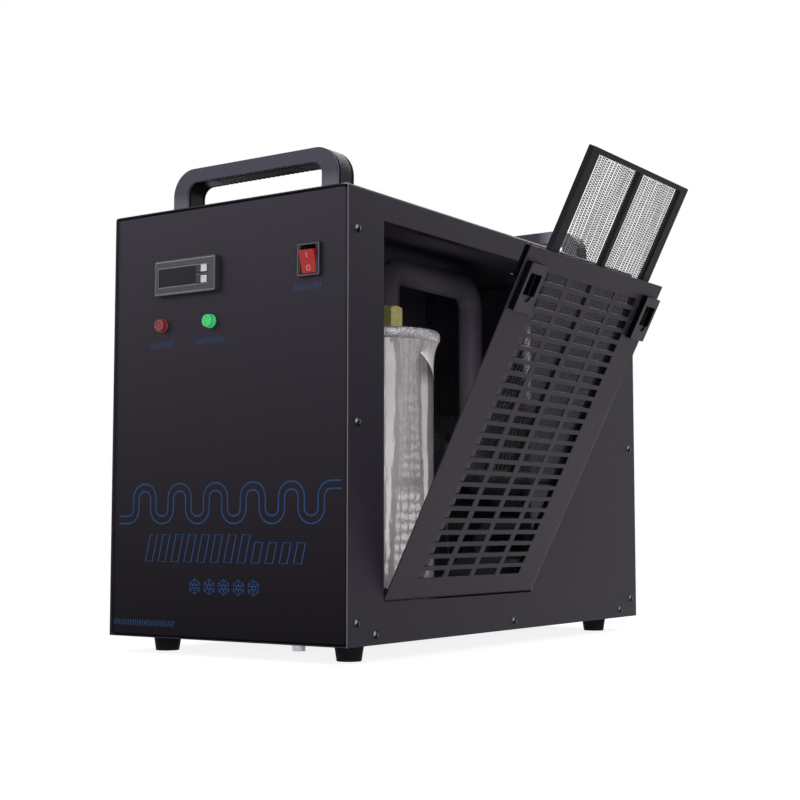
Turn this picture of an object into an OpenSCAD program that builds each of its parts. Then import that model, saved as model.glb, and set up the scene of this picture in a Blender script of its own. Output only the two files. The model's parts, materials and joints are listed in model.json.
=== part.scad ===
// Free-standing compressor chiller: a folded steel case with a drop-down side hatch,
// a sliding dust filter in the hatch, and the cooling and water circuits inside.
// The front faces -Y, the floor is Z = 0, and the hatch stands open as at rest.

/* [Case] */
// Width of the case across its front
case_w = 290; // [284:1:310]
// Length of the case from front to back
case_l = 590; // [580:1:620]
// Height of the case without its feet
case_h = 416; // [410:1:440]
// Thickness of the folded sheets
sheet_t = 1.2; // [1:0.1:1.5]
// Outer radius of the bends in the sheets
bend_r = 3; // [2.5:0.1:4]
// Depth of the flanges folded on the panels and the tray
flange_d = 22; // [20:1:26]

/* [Hatch] */
// Distance from the case's front to the side opening
open_front = 56; // [50:1:64]
// Width of the side opening along the case
open_w = 278; // [272:1:284]
// Height of the opening's lower edge above the case's underside
open_low = 37.5; // [34:0.5:42]
// Distance from the case's top down to the side opening
open_drop = 26; // [22:0.5:32]
// Depth of the lip folded in round the opening
lip_d = 10; // [8:0.5:10]
// Depth of the flange folded on the hatch's lower edge
hatch_d = 13.5; // [13:0.5:16]
// Angle at which the open hatch rests, from upright
hatch_tilt = 26.6; // [20:0.1:30]
// Radius of the hatch's hinge pins
pin_r = 1.5; // [1.2:0.1:1.6]

/* [Slots] */
// Number of columns of slots in the hatch
slot_cols = 4; // [3:1:4]
// Number of rows of slots in the hatch
slot_rows = 25; // [20:1:25]
// Length of one slot
slot_w = 40.5; // [36:0.5:42]
// Height of one slot
slot_h = 8; // [6:0.5:9]
// Distance from one column of slots to the next
col_pitch = 49.2; // [46:0.1:50]
// Distance from the highest row of slots to the hatch's upper edge
slot_drop = 19.3; // [18:0.1:26]
// Height of the lowest slot above the hatch's lower edge
slot_low = 23.3; // [22:0.1:26]

/* [Latches] */
// Width of a latch plate
latch_w = 30; // [28:0.5:31]
// Height of a latch plate
latch_h = 45.5; // [42:0.5:48]
// How far a latch plate stands out of the hatch
latch_proud = 5.8; // [4:0.1:6]
// Gap between a latch plate and the side edge of the hatch
latch_inset = 3.5; // [3:0.1:5]
// Distance from the hatch's top edge down to the latch plate
latch_drop = 13.5; // [12:0.5:16]
// Travel of the latch bolts
latch_travel = 8; // [6:0.5:8]

/* [Filter] */
// Width of the filter cassette
filter_w = 207; // [200:0.5:209]
// How much shorter the cassette is than the hatch
filter_short = 22.1; // [20:0.1:30]
// Distance from the hatch's middle to the cassette's middle
filter_off = 12.5; // [8:0.1:12.5]
// Thickness of the filter cassette
filter_t = 6; // [5:0.1:6]
// How far the cassette stands pulled out
filter_out = 104; // [80:1:120]
// Width of the cassette's side bars
filter_side = 14; // [12:0.5:16]
// Width of the cassette's upper bar
filter_top = 5; // [4:0.5:8]
// Width of the cassette's lower bar
filter_foot = 10; // [8:0.5:12]
// Width of the bar down the cassette's middle
filter_mid = 7; // [6:0.5:9]
// Thickness of the net in the cassette
net_t = 0.8; // [0.6:0.1:1.2]
// Thickness of the net's threads along the cassette
net_thread = 1.1; // [0.8:0.1:1.4]
// Number of gaps between the threads across one panel of the net
net_gaps = 20; // [16:1:20]

/* [Handles] */
// Length of a carrying handle
handle_l = 207; // [190:1:220]
// Height of a handle above the case
handle_h = 50; // [46:1:56]
// Depth of a handle's section
handle_d = 27; // [24:0.5:30]
// Width of a handle's legs
handle_t = 19; // [16:0.5:21]
// Height of a handle's bar
bar_h = 14.5; // [12:0.5:18]
// Distance from the case's end to a handle
handle_in = 39; // [34:1:44]
// Radius of the inside of a handle's bends
handle_bend = 12; // [10:1:16]

/* [Feet] */
// Height of the rubber feet
foot_h = 16; // [12:0.5:20]
// Radius of a foot at the case
foot_r = 14; // [12:0.5:16]
// Radius of a foot at the floor
foot_tip_r = 11.5; // [10:0.5:12]
// Distance from a foot's axis to the case's side
foot_side = 33; // [28:1:40]
// Distance from a foot's axis to the case's end
foot_end = 48; // [44:1:56]

/* [Front controls] */
// Width of the temperature controller's frame
ctrl_w = 78.4; // [76:0.2:80]
// Height of the temperature controller's frame
ctrl_h = 34.6; // [33:0.2:36]
// How far the controller's frame stands out
ctrl_proud = 6; // [4:0.5:7]
// Distance from the case's left side to the middle of the controller
ctrl_x = 98.6; // [94:0.2:104]
// Distance from the case's top down to the middle of the controller
ctrl_drop = 68.3; // [64:0.1:72]
// Width of the power switch's frame
switch_w = 26.3; // [25:0.1:28]
// Height of the power switch's frame
switch_h = 31; // [30:0.2:33]
// Distance from the case's right side to the middle of the switch
switch_x = 43.5; // [40:0.5:48]
// Distance from the case's top down to the middle of the switch
switch_drop = 66.5; // [62:0.5:70]
// Angle of the pressed rocker
rocker_tilt = 15; // [12:0.5:16]
// Radius of an indicator lamp's lens
lamp_r = 6.75; // [6:0.05:7.5]
// How far a lamp stands out
lamp_proud = 7; // [6:0.5:9]
// Distance from the case's top down to the lamps
lamp_drop = 114; // [110:0.5:120]
// Distance from the case's left side to the red lamp
lamp_red_x = 66; // [62:0.5:70]
// Distance from the case's left side to the green lamp
lamp_green_x = 127.5; // [120:0.5:132]

/* [Tank] */
// Radius of the tank's wrapped body
tank_r = 50.5; // [46:0.5:52]
// Radius of the tank's rim
rim_r = 57; // [54:0.5:58]
// Height of the rim
rim_h = 12; // [10:0.5:16]
// Distance from the case's top down to the tank's top
tank_drop = 105; // [100:1:116]
// Distance from the case's right side to the tank's axis
tank_side = 110; // [108:1:116]
// Distance from the tank's axis back to the compressor's axis
tank_back = 148; // [144:1:152]
// Size of the brass fitting across its flats
fitting_af = 30; // [27:0.5:32]
// Height of the brass fitting
fitting_h = 27; // [24:1:30]

/* [Refrigeration] */
// Gap between the case's left side and the compressor's shell
comp_side = 41; // [38:0.5:45]
// Height of the compressor's shell
comp_h = 205; // [190:1:215]
// Distance from the compressor's axis back to the condenser
comp_back = 118; // [115:1:122]
// Height of the condenser
cond_h = 250; // [230:1:260]
// Depth of the condenser's fins
cond_d = 38; // [34:1:40]
// Number of the condenser's fins
fin_count = 26; // [20:1:30]
// Radius of the condenser's tubes
cond_tube_r = 4; // [3.5:0.1:4.5]
// Number of the fan's blades
blade_count = 5; // [4:1:7]
// Depth of the fan's blades
blade_d = 24; // [20:0.5:26]
// Radius of the fan's hub
hub_r = 24; // [22:0.5:28]
// Radius of the copper pipes
copper_r = 4; // [3:0.1:4.5]

/* [Water circuit] */
// Outer radius of the black water hoses
hose_r = 10.5; // [9:0.5:11]
// Outer radius of the insulated return hose
foam_r = 14; // [12:0.5:14]
// Radius of the pump's motor
pump_r = 34; // [30:0.5:36]
// Wall radius of the threaded water ports
port_r = 5.72; // [5.72, 7.44]
// Depth of the thread in a water port
port_depth = 10; // [8:0.5:12]
// Distance between the two water ports
port_gap = 44; // [40:1:50]
// Radius of the filler cap
cap_r = 21; // [19:0.5:24]

/* [Fasteners and clearances] */
// Radius of the domed screw heads
screw_head_r = 4; // [3.5:0.1:4.2]
// Height of the domed screw heads
screw_head_h = 2.4; // [2:0.1:2.8]
// Radius of the screws
screw_r = 1.9; // [1.5:0.1:2]
// Gap between the hatch's edge and the opening
hatch_gap = 0.9; // [0.8:0.1:1.2]
// Gap between the hatch's sides and the opening
hatch_side_gap = 2; // [1.5:0.1:2.5]
// Gap between sheets and pieces that lie against each other
seat = 0.3; // [0.2:0.05:0.4]
// Gap round a turning pin or shaft
run = 0.08; // [0.05:0.01:0.1]

/* [Hidden] */

$fn = 48;
// Colours of the finishes
BLACK_SHEET = [0.17, 0.165, 0.18];
BLACK_PLASTIC = [0.06, 0.06, 0.065];
HANDLE_BLACK = [0.22, 0.215, 0.235];
BRASS = [0.72, 0.6, 0.3];
COPPER = [0.72, 0.42, 0.28];
CHROME = [0.75, 0.76, 0.78];
FOIL = [0.72, 0.71, 0.72];

// Half sizes and levels of the case, measured from its middle and from the floor
half_w = case_w / 2;
half_l = case_l / 2;
case_top = foot_h + case_h;
inner_w = case_w - 2 * (sheet_t + seat);
floor_z = foot_h + sheet_t;
panel_low = floor_z + seat;
panel_h = case_top - sheet_t - seat - panel_low;
notch = flange_d + 2;

// The hatch, its opening and the hinge axis
open_y = -half_l + open_front + open_w / 2;
open_z = foot_h + open_low;
open_h = case_h - open_low - open_drop;
hatch_w = open_w - 2 * hatch_side_gap;
hatch_h = open_h - hatch_gap - 1;
row_pitch = (hatch_h - slot_low - slot_drop - slot_h) / (slot_rows - 1);
hinge_x = half_w - bend_r;
hinge_z = open_z + hatch_gap + bend_r;
ear_t = 2;
ear_u = hatch_w / 2 - 6;
pin_out = hatch_side_gap + sheet_t + 1.5;

// The filter and its rails, measured inwards from the hatch's face
rail_n0 = sheet_t;
filter_n = 6.5;
rail_n1 = filter_n + filter_t + 1.4;
rail_web = 0.9;
rail_lap = 6;
filter_low = sheet_t + 16.8;
rail_low = filter_low - seat - 2;
filter_l = hatch_h - filter_short;
filter_win = filter_l - filter_top - filter_foot;
panel_win = (filter_w - 2 * filter_side - filter_mid) / 2;

// The latches, measured from the hatch's middle, face and lower edge
latch_u = hatch_w / 2 - latch_inset - latch_w / 2;
latch_v = hatch_h - latch_drop - latch_h / 2;
window_w = 20;
window_h = 20.5;
thumb_r = 6;
thumb_d = 1.5;
window_u = latch_u + 1;
window_v = latch_v + 3.2;
bolt_w = window_w - 2;
bolt_front = sheet_t + seat;
bolt_block = 3.4;
bolt_stem_n = lip_d + 0.7;
bolt_stem_t = 2.6;
bolt_low = window_v - window_h / 2 - latch_travel - 1;
bolt_high = window_v + window_h / 2 + 2;
bolt_top = hatch_h - 1.2;
strap_t = 1.4;
strap_n = bolt_stem_n + bolt_stem_t + seat;
strap_v = window_v - 6;
strap_h = 8;
stem_u = filter_off + filter_w / 2 + seat + rail_web + 1;
stem_w = 7.5;
rail_high = bolt_low - 2;

// Places of the pieces on the front
ctrl_cx = -half_w + ctrl_x;
ctrl_z = case_h - ctrl_drop;
switch_z = case_h - switch_drop;
lamp_z = case_h - lamp_drop;
switch_cx = half_w - switch_x;
rocker_w = 16.4;
rocker_front = 8.6;
rocker_dish = 0.7;
rocker_half = switch_h / 2 - 4.7;
cavity_h = 2 * (rocker_half * cos(rocker_tilt) + rocker_front * sin(rocker_tilt) + 2 * seat);
rocker_pivot = 4;
rocker_pin_r = 1.5;
window_left = 5.9;
ctrl_win_w = 48;
ctrl_win_h = 17.7;
ctrl_button_w = 13.5;
ctrl_button_h = 7;
ctrl_button_gap = 10.6;
ctrl_button_x = window_left + ctrl_win_w + 1.2 + ctrl_button_w / 2 - ctrl_w / 2;
button_press = 1;
lamp_step = 0.6;

// Handles, feet, drain and the screws on one side of the case
grip_ribs = 18;
grip_pitch = 6;
foot_bolt_r = 2.2;
foot_bore_r = 5;
drain_x = 58;
drain_y = -half_l + 43;
drain_r = 6;
drain_out = 9;
screw_low = 9.2;
screw_edge = 15;

// The tank, the compressor, the pump and the hoses
tank_cx = half_w - tank_side;
cond_y = half_l - 105;
comp_cy = cond_y - comp_back;
tank_cy = comp_cy - tank_back;
rim_top = case_top - tank_drop;
rim_low = rim_top - rim_h;
flare_h = 22;
fitting_top = rim_top + fitting_h;
comp_gap = 10;
comp_band = 1.2;
comp_r = (tank_cx - foam_r - comp_gap + half_w - comp_side) / 2 - comp_band;
comp_cx = -half_w + comp_side + comp_r + comp_band;
grommet_h = 12;
plate_t = 2.5;
shell_low = floor_z + grommet_h + plate_t;
shell_top = shell_low + comp_h;
acc_r = 22;
acc_gap = 4;
acc_cy = comp_cy - comp_r - acc_gap - acc_r;
acc_low = 110;
acc_high = 230;
hose_level = case_top - 37;
discharge_top = hose_level - 50;
hose_bend = 24;
hose_back_y = comp_cy + 23;
pump_cx = half_w - 95;
pump_cy = tank_cy + 154;
pump_z = floor_z + 4 + pump_r;
volute_r = pump_r + 4;
volute_d = 26;
motor_l = 72;
port_x = half_w - 40;
outlet_y = pump_cy + volute_d / 2;
outlet_z = pump_z + volute_r + 4;
supply_z = outlet_z + hose_bend + 2;
return_z = supply_z + port_gap;
port_out = 12;
port_in = 18;
suction_r = 8;
lid_side = 25;
lid_back = 31;
suction_top = rim_top + 25;
filler_x = tank_cx - 35;
filler_r = 14;
neck_r = 17;
neck_low = case_top - 22;
neck_top = case_top + 12;
cap_h = 15;
base_ears = [100, 220, 340];
ear_r = comp_r - 1;

// The condenser and the fan
cond_side = 25;
cond_w = case_w - 100;
fan_r = cond_w / 2 - 7;
fan_x = -half_w + cond_side + cond_w / 2;
cond_low = floor_z + 43;
cond_tubes = 8;
tube_pitch = cond_h / cond_tubes;
tube_y = cond_y + cond_d / 2;
tube_left = fan_x - cond_w / 2;
pipe_x = tube_left - 8;
low_tube_z = cond_low + tube_pitch / 2;
high_tube_z = cond_low + cond_h - tube_pitch / 2;
fan_z = cond_low + cond_h / 2;
shroud_y = cond_y + cond_d;
shroud_d = 30;
ring_r = fan_r + 4;
ring_y = shroud_y + shroud_d;
rotor_y = ring_y + 4;
shaft_r = 3;
motor_r = 30;
motor_y0 = shroud_y + 4;
drier_r = 11;
drier_back = cond_y - 40;
drier_front = drier_back - 90;
capillary_r = 1.3;
coil_r = 16;
coil_turns = 3;
coil_steps = 20;
coil_pitch = 4;
coil_x = pipe_x + coil_r;
coil_y = drier_front - 80;
lid_x = tank_cx - 25;
lid_y = tank_cy - 20;
fin_t = 0.6;
shaft_hold = 18;
blade_t = 1.6;
blade_w = 37;
blade_pitch = asin((blade_d - 6 - 2.2) / blade_w);
guard_out = 6;
guard_bolt = ring_r + 8;
guard_wire = 1.2;

// The connections on the rear panel
inlet_x = port_x;
inlet_z = case_top - 86;
inlet_w = 30;
inlet_h = 24;
inlet_deep = 16.5;
gauge_z = (return_z + inlet_z) / 2 - 4;
gauge_bolt = 0.2 * (inlet_z - return_z);
gauge_stem = 4;
port_bush_r = 9;

// The frame's origin lies on the floor under the middle of the whole object, hatch open
filter_tip = filter_low + filter_out + filter_l - bend_r;
hatch_reach = hinge_x + (bend_r - filter_n) * cos(hatch_tilt) + filter_tip * sin(hatch_tilt);
origin_x = (half_w + screw_head_h - hatch_reach) / 2;
origin_y = (lamp_proud - port_out) / 2;

// Moves a piece from the middle of the case into the part's frame
module place() translate([origin_x, origin_y, 0]) children();

// Stands a piece of the hatch in its open rest position: X out of the face, Y along it, Z up it
module on_hatch() {
    place() translate([hinge_x, open_y, hinge_z])
        rotate([0, hatch_tilt, 0])
            translate([bend_r, 0, -bend_r]) children();
}

// Outline of a sheet folded to a U, closed at y = 0 and open towards +y
module round_u(w, d, r) {
    translate([-w / 2 + r, 0]) square([w - 2 * r, d]);
    translate([-w / 2, r]) square([w, d - r]);
    for (s = [-1, 1]) translate([s * (w / 2 - r), r]) circle(r);
}

module u_profile(w, d) {
    difference() {
        round_u(w, d, bend_r);
        translate([0, sheet_t]) round_u(w - 2 * sheet_t, d, bend_r - sheet_t);
    }
}

// Sheet face in the XZ plane with flanges folded back along +Y on all four sides
module folded_panel(w, h, d) {
    translate([0, 0, bend_r]) linear_extrude(h - 2 * bend_r) u_profile(w, d);
    translate([0, 0, h / 2]) rotate([0, -90, 0])
        linear_extrude(w - 2 * bend_r, center = true) u_profile(h, d);
}

// Round bar along legs that meet at right angles, with a bend of radius b at each corner
function unit(v) = v / norm(v);
module leg(a, b, r) {
    d = b - a;
    l = norm(d);
    n = d / l;
    turn = n[2] < -0.5 ? [180, 0, 0] : n[2] > 0.5 ? [0, 0, 0] : [0, 90, atan2(n[1], n[0])];
    translate(a) rotate(turn) cylinder(h = l, r = r);
}

module elbow(p, a, b, r, bend) {
    c = p - a * bend + b * bend;
    z = cross(a, b);
    m = [[-b[0], a[0], z[0], c[0]], [-b[1], a[1], z[1], c[1]], [-b[2], a[2], z[2], c[2]], [0, 0, 0, 1]];
    multmatrix(m) rotate_extrude(angle = 90) translate([bend, 0]) circle(r);
}

module bent_bar(pts, r, bend) {
    last = len(pts) - 1;
    for (i = [0:last - 1]) {
        n = unit(pts[i + 1] - pts[i]);
        start = i == 0 ? pts[0] : pts[i] + n * bend;
        stop = i == last - 1 ? pts[last] : pts[i + 1] - n * bend;
        if (norm(stop - start) > 0.01) leg(start, stop, r);
    }
    for (i = [1:1:last - 1])
        elbow(pts[i], unit(pts[i] - pts[i - 1]), unit(pts[i + 1] - pts[i]), r, bend);
}

// Case

module base_tray() place() {
    color(BLACK_SHEET) difference() {
        translate([0, 0, foot_h]) rotate([90, 0, 0])
            linear_extrude(case_l, center = true) u_profile(inner_w, flange_d);
        for (s = [-1, 1])
            translate([0, s * (half_l - notch / 2 + 1), floor_z + flange_d])
                cube([case_w, notch + 2, 2 * flange_d], center = true);
        for (p = foot_places())
            translate([p[0], p[1], foot_h - 1]) cylinder(h = sheet_t + 2, r = foot_bolt_r);
        translate([drain_x, drain_y, foot_h - 1]) cylinder(h = sheet_t + 2, r = drain_r + seat);
        for (p = tray_screws())
            screw_bore(p);
    }
}

function foot_places() = [
    for (y = [-half_l + foot_end, half_l - foot_end])
        for (x = [-half_w + foot_side, half_w - foot_side]) [x, y]
];

// Screws on one side of the case: [distance along the case from its front, height above its underside]
function tray_screws() = [for (y = [44, case_l / 2, case_l - 44]) [y, screw_low]];
function panel_screws() = [
    for (z = [21, 200, case_h - 40]) each [[screw_edge, z], [case_l - screw_edge, z]]
];

module screw_bore(p) {
    translate([0, -half_l + p[0], foot_h + p[1]]) rotate([0, 90, 0])
        cylinder(h = case_w + 2, r = screw_r + seat, center = true);
}

module cover_screws() place() color(BLACK_PLASTIC)
    for (p = concat(tray_screws(), panel_screws()))
        for (s = [-1, 1])
            translate([s * half_w, -half_l + p[0], foot_h + p[1]])
                rotate([0, s * 90, 0]) domed_screw();

// Screw with a domed head that seats on z = 0 and a cross recess
module domed_screw() {
    dome_r = (screw_head_r * screw_head_r + screw_head_h * screw_head_h) / (2 * screw_head_h);
    difference() {
        union() {
            rotate_extrude() intersection() {
                translate([0, screw_head_h - dome_r]) circle(dome_r);
                square([screw_head_r, screw_head_h]);
            }
            translate([0, 0, -6]) cylinder(h = 6.5, r = screw_r);
        }
        for (a = [0, 90]) rotate([0, 0, a])
            translate([0, 0, screw_head_h]) cube([3.6, 0.7, 2.2], center = true);
    }
}

// Grid of slots in the plane of the sheet, its lowest row at y = 0
module slot_grid() {
    for (c = [0:slot_cols - 1], r = [0:slot_rows - 1])
        translate([(c - (slot_cols - 1) / 2) * col_pitch - slot_w / 2, r * row_pitch])
            square([slot_w, slot_h]);
}

module outer_cover() place() color(BLACK_SHEET) {
    difference() {
        union() {
            difference() {
                translate([0, -half_l, case_top]) rotate([-90, 0, 0])
                    linear_extrude(case_l) u_profile(case_w, case_h);
                translate([half_w, open_y, open_z + open_h / 2])
                    cube([lip_d, open_w, open_h], center = true);
            }
            opening_lip();
        }
        translate([hinge_x, open_y, hinge_z]) rotate([90, 0, 0])
            cylinder(h = open_w + 4 * sheet_t, r = pin_r + run, center = true);
        translate([-half_w, open_y, open_z + hatch_gap + slot_low])
            rotate([90, 0, 90]) linear_extrude(4 * sheet_t, center = true) slot_grid();
        translate([filler_x, tank_cy, case_top]) cylinder(h = 8, r = neck_r + 1, center = true);
        for (p = concat(tray_screws(), panel_screws())) screw_bore(p);
    }
}

module opening_lip() {
    translate([half_w - lip_d, open_y, open_z + open_h / 2]) rotate([0, 90, 0])
        linear_extrude(lip_d) difference() {
            square([open_h + 2 * sheet_t, open_w + 2 * sheet_t], center = true);
            square([open_h, open_w], center = true);
        }
}

module front_panel() place() color(BLACK_SHEET) {
    difference() {
        translate([0, -half_l, panel_low]) folded_panel(inner_w, panel_h, flange_d);
        front_cut(ctrl_cx, ctrl_z) cube([ctrl_w - 7, 9, ctrl_h - 6], center = true);
        front_cut(switch_cx, switch_z) cube([switch_w - 4, 9, switch_h - 2.2], center = true);
        for (x = [lamp_red_x, lamp_green_x])
            front_cut(-half_w + x, lamp_z) rotate([90, 0, 0])
                cylinder(h = 9, r = lamp_r - 1.5, center = true);
        for (p = panel_screws()) screw_bore(p);
    }
}

module front_cut(x, z) translate([x, -half_l, foot_h + z]) children();

module rear_panel() place() color(BLACK_SHEET) {
    difference() {
        translate([0, half_l, panel_low]) rotate([0, 0, 180])
            folded_panel(inner_w, panel_h, flange_d);
        rear_hole(fan_x, fan_z, ring_r + 2);
        for (z = [supply_z, return_z]) rear_hole(port_x, z, port_bush_r);
        translate([inlet_x, half_l, inlet_z]) cube([inlet_w - 3, 9, inlet_h - 3], center = true);
        for (s = [-1, 1]) rear_hole(port_x, gauge_z + s * gauge_bolt, gauge_stem + seat);
        for (a = [45:90:315])
            rear_hole(fan_x + guard_bolt * cos(a), fan_z + guard_bolt * sin(a), 2);
        for (p = panel_screws()) screw_bore(p);
    }
}

module rear_hole(x, z, r) {
    translate([x, half_l, z]) rotate([90, 0, 0]) cylinder(h = 9, r = r, center = true);
}

module foot(i) {
    p = foot_places()[i];
    place() color(BLACK_PLASTIC) translate([p[0], p[1], 0]) difference() {
        cylinder(h = foot_h, r1 = foot_tip_r, r2 = foot_r);
        translate([0, 0, -1]) cylinder(h = foot_h - 4, r = foot_bore_r);
        translate([0, 0, -1]) cylinder(h = foot_h + 2, r = foot_bolt_r);
    }
}

module foot_front_left() foot(0);
module foot_front_right() foot(1);
module foot_rear_left() foot(2);
module foot_rear_right() foot(3);

// Rectangle of width w and height h that stands on y = 0, with its upper corners rounded
module arch(w, h, r) {
    translate([-w / 2, 0]) square([w, h - r]);
    translate([-w / 2 + r, 0]) square([w - 2 * r, h]);
    for (s = [0, 1]) mirror([s, 0]) translate([w / 2 - r, h - r]) intersection() {
        circle(r);
        square(r);
    }
}

// Outline of a handle, thinned all round by t
module bow(t) difference() {
    arch(handle_l - 2 * t, handle_h - t, handle_bend + bar_h - t);
    translate([0, -1]) arch(handle_l - 2 * handle_t + 2 * t, handle_h - bar_h + 1 + t, handle_bend + t);
}

// Bow handle along X that stands on z = 0, with a groove behind each rim and ribs under its bar
module handle() {
    edge = 0.6;
    rim = 2.4;
    groove_w = 2.4;
    groove_t = 1.3;
    difference() {
        translate([0, handle_d / 2, 0]) rotate([90, 0, 0]) {
            linear_extrude(handle_d) bow(groove_t);
            for (m = [0, 1]) translate([0, 0, m * handle_d]) mirror([0, 0, m]) {
                linear_extrude(rim) bow(edge);
                translate([0, 0, edge]) linear_extrude(rim - edge) bow(0);
            }
            translate([0, 0, rim + groove_w]) linear_extrude(handle_d - 2 * (rim + groove_w)) bow(0);
        }
        for (i = [-grip_ribs / 2 + 0.5:grip_ribs / 2 - 0.5])
            translate([i * grip_pitch, 0, handle_h - bar_h]) rotate([90, 0, 0])
                cylinder(h = handle_d + 2, r = 1, center = true);
    }
}

module handle_front() place() color(HANDLE_BLACK)
    translate([0, -half_l + handle_in + handle_d / 2, case_top]) handle();
module handle_rear() place() color(HANDLE_BLACK)
    translate([0, half_l - handle_in - handle_d / 2, case_top]) handle();

// Front controls

module on_controller() place() translate([ctrl_cx, -half_l, foot_h + ctrl_z]) children();

module controller_body() on_controller() color([0.25, 0.25, 0.27]) difference() {
    union() {
        translate([0, -ctrl_proud, 0]) rotate([-90, 0, 0])
            linear_extrude(ctrl_proud) rounded(ctrl_w, ctrl_h, 2);
        translate([0, 29, 0]) cube([ctrl_w - 8, 58.2, ctrl_h - 7], center = true);
    }
    translate([window_left + ctrl_win_w / 2 - ctrl_w / 2, -ctrl_proud, 0])
        cube([ctrl_win_w, 3, ctrl_win_h], center = true);
    for (s = [-1, 1])
        translate([ctrl_button_x, -ctrl_proud, s * ctrl_button_gap / 2])
            cube([ctrl_button_w + 2 * seat, 8, ctrl_button_h + 2 * seat], center = true);
}

// Rectangle with round corners
module rounded(w, h, r) {
    square([w - 2 * r, h], center = true);
    square([w, h - 2 * r], center = true);
    for (x = [-1, 1], y = [-1, 1]) translate([x * (w / 2 - r), y * (h / 2 - r)]) circle(r);
}

module controller_window() on_controller() color([0.1, 0.09, 0.11])
    translate([window_left + ctrl_win_w / 2 - ctrl_w / 2, -ctrl_proud + 1, 0])
        cube([ctrl_win_w, 1, ctrl_win_h], center = true);

module controller_button(s) on_controller() color([0.5, 0.5, 0.52])
    translate([ctrl_button_x, -ctrl_proud - button_press - 0.2, s * ctrl_button_gap / 2])
        rotate([-90, 0, 0]) linear_extrude(4 - 0.2) rounded(ctrl_button_w, ctrl_button_h, 0.8);

module button_up() controller_button(1);
module button_down() controller_button(-1);

module on_switch() place() translate([switch_cx, -half_l, foot_h + switch_z]) children();

module switch_body() on_switch() color(BLACK_PLASTIC) difference() {
    union() {
        translate([0, -3, 0]) rotate([-90, 0, 0]) linear_extrude(3) rounded(switch_w, switch_h, 1.5);
        translate([0, 11, 0]) cube([switch_w - 5, 22.4, switch_h - 2.6], center = true);
    }
    translate([0, 5, 0]) cube([rocker_w + 1, 18, cavity_h], center = true);
    for (s = [-1, 1]) translate([s * (rocker_w + 1) / 2, rocker_pivot, 0])
        rotate([0, 90, 0]) cylinder(h = 3, r = rocker_pin_r + run, center = true);
}

module rocker() on_switch() color([0.7, 0.08, 0.07])
    translate([0, rocker_pivot, 0]) rotate([rocker_tilt, 0, 0]) {
        rotate([90, 0, 90]) linear_extrude(rocker_w, center = true)
            polygon([
                [-rocker_front, rocker_half], [-rocker_front + rocker_dish, 3],
                [-rocker_front + rocker_dish, -3], [-rocker_front, -rocker_half],
                [0, -rocker_half + 0.8], [6, -5], [6, 5], [0, rocker_half - 0.8]
            ]);
        rotate([0, 90, 0]) cylinder(h = rocker_w + 2.4, r = rocker_pin_r, center = true);
    }

// Indicator lamp: a flat lens with a raised ring and a body clamped behind the panel
module lamp() {
    bead = 1.5;
    lens_r = lamp_r - lamp_step;
    rotate([90, 0, 0]) rotate_extrude() {
        polygon([
            [0, 0], [lamp_r, 0], [lamp_r, bead], [lens_r, bead + 0.5], [lens_r, lamp_proud - 1],
            [lens_r - 1, lamp_proud], [lens_r - 2, lamp_proud], [lens_r - 2.6, lamp_proud - 1],
            [1.6, lamp_proud - 1], [1, lamp_proud - 0.3], [0, lamp_proud - 0.3]
        ]);
        translate([0, -22]) square([lamp_r - 1.8, 22.5]);
        translate([0, -sheet_t - 4]) square([lamp_r + 1, 4]);
    }
}

module lamp_red() place() color([0.75, 0.05, 0.05])
    translate([-half_w + lamp_red_x, -half_l, foot_h + lamp_z]) lamp();
module lamp_green() place() color([0.1, 0.85, 0.35])
    translate([-half_w + lamp_green_x, -half_l, foot_h + lamp_z]) lamp();

// Hatch, modelled upright with its face at x = 0, its middle at y = 0 and its lower edge at z = 0

module hatch_panel() on_hatch() color(BLACK_SHEET) difference() {
    union() {
        translate([-sheet_t, -hatch_w / 2, bend_r]) cube([sheet_t, hatch_w, hatch_h - bend_r]);
        rotate([90, 0, 0]) linear_extrude(hatch_w, center = true) {
            intersection() {
                translate([-bend_r, bend_r]) difference() {
                    circle(bend_r);
                    circle(bend_r - sheet_t);
                }
                translate([-bend_r, 0]) square(bend_r);
            }
            translate([-hatch_d, 0]) square([hatch_d - bend_r, sheet_t]);
        }
        for (s = [-1, 1]) translate([-8, s * ear_u - ear_t / 2, 1]) cube([7, ear_t, 10]);
    }
    translate([0, 0, slot_low]) rotate([90, 0, 90])
        linear_extrude(4 * sheet_t, center = true) slot_grid();
    for (s = [-1, 1]) {
        translate([0, s * window_u, window_v]) cube([4 * sheet_t, window_w, window_h], center = true);
        translate([-bend_r, s * ear_u, bend_r]) rotate([90, 0, 0])
            cylinder(h = 2 * ear_t, r = pin_r + run / 2, center = true);
    }
}

module hinge_pins() on_hatch() color(CHROME)
    for (s = [-1, 1])
        translate([-bend_r, s * (ear_u - ear_t), bend_r]) rotate([-s * 90, 0, 0])
            cylinder(h = hatch_w / 2 + pin_out - ear_u + ear_t, r = pin_r);

// Plastic rail with a groove for one edge of the cassette, closed at its lower end
module filter_rail(s) on_hatch() color(BLACK_PLASTIC)
    translate([0, filter_off, 0]) mirror([0, s < 0 ? 1 : 0, 0]) difference() {
        translate([-rail_n1, filter_w / 2 - rail_lap, rail_low])
            cube([rail_n1 - rail_n0, rail_lap + seat + rail_web, rail_high - rail_low]);
        translate([-filter_n - filter_t - seat, 0, filter_low - seat])
            cube([filter_t + 2 * seat, filter_w / 2 + seat, filter_l + filter_out]);
        translate([-filter_n + seat + 1.2, 0, rail_low - 1])
            cube([filter_n - seat - 1.2 - rail_n0 - 1.2, filter_w / 2 + seat, rail_high]);
    }

module filter_rail_front() filter_rail(-1);
module filter_rail_rear() filter_rail(1);

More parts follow.
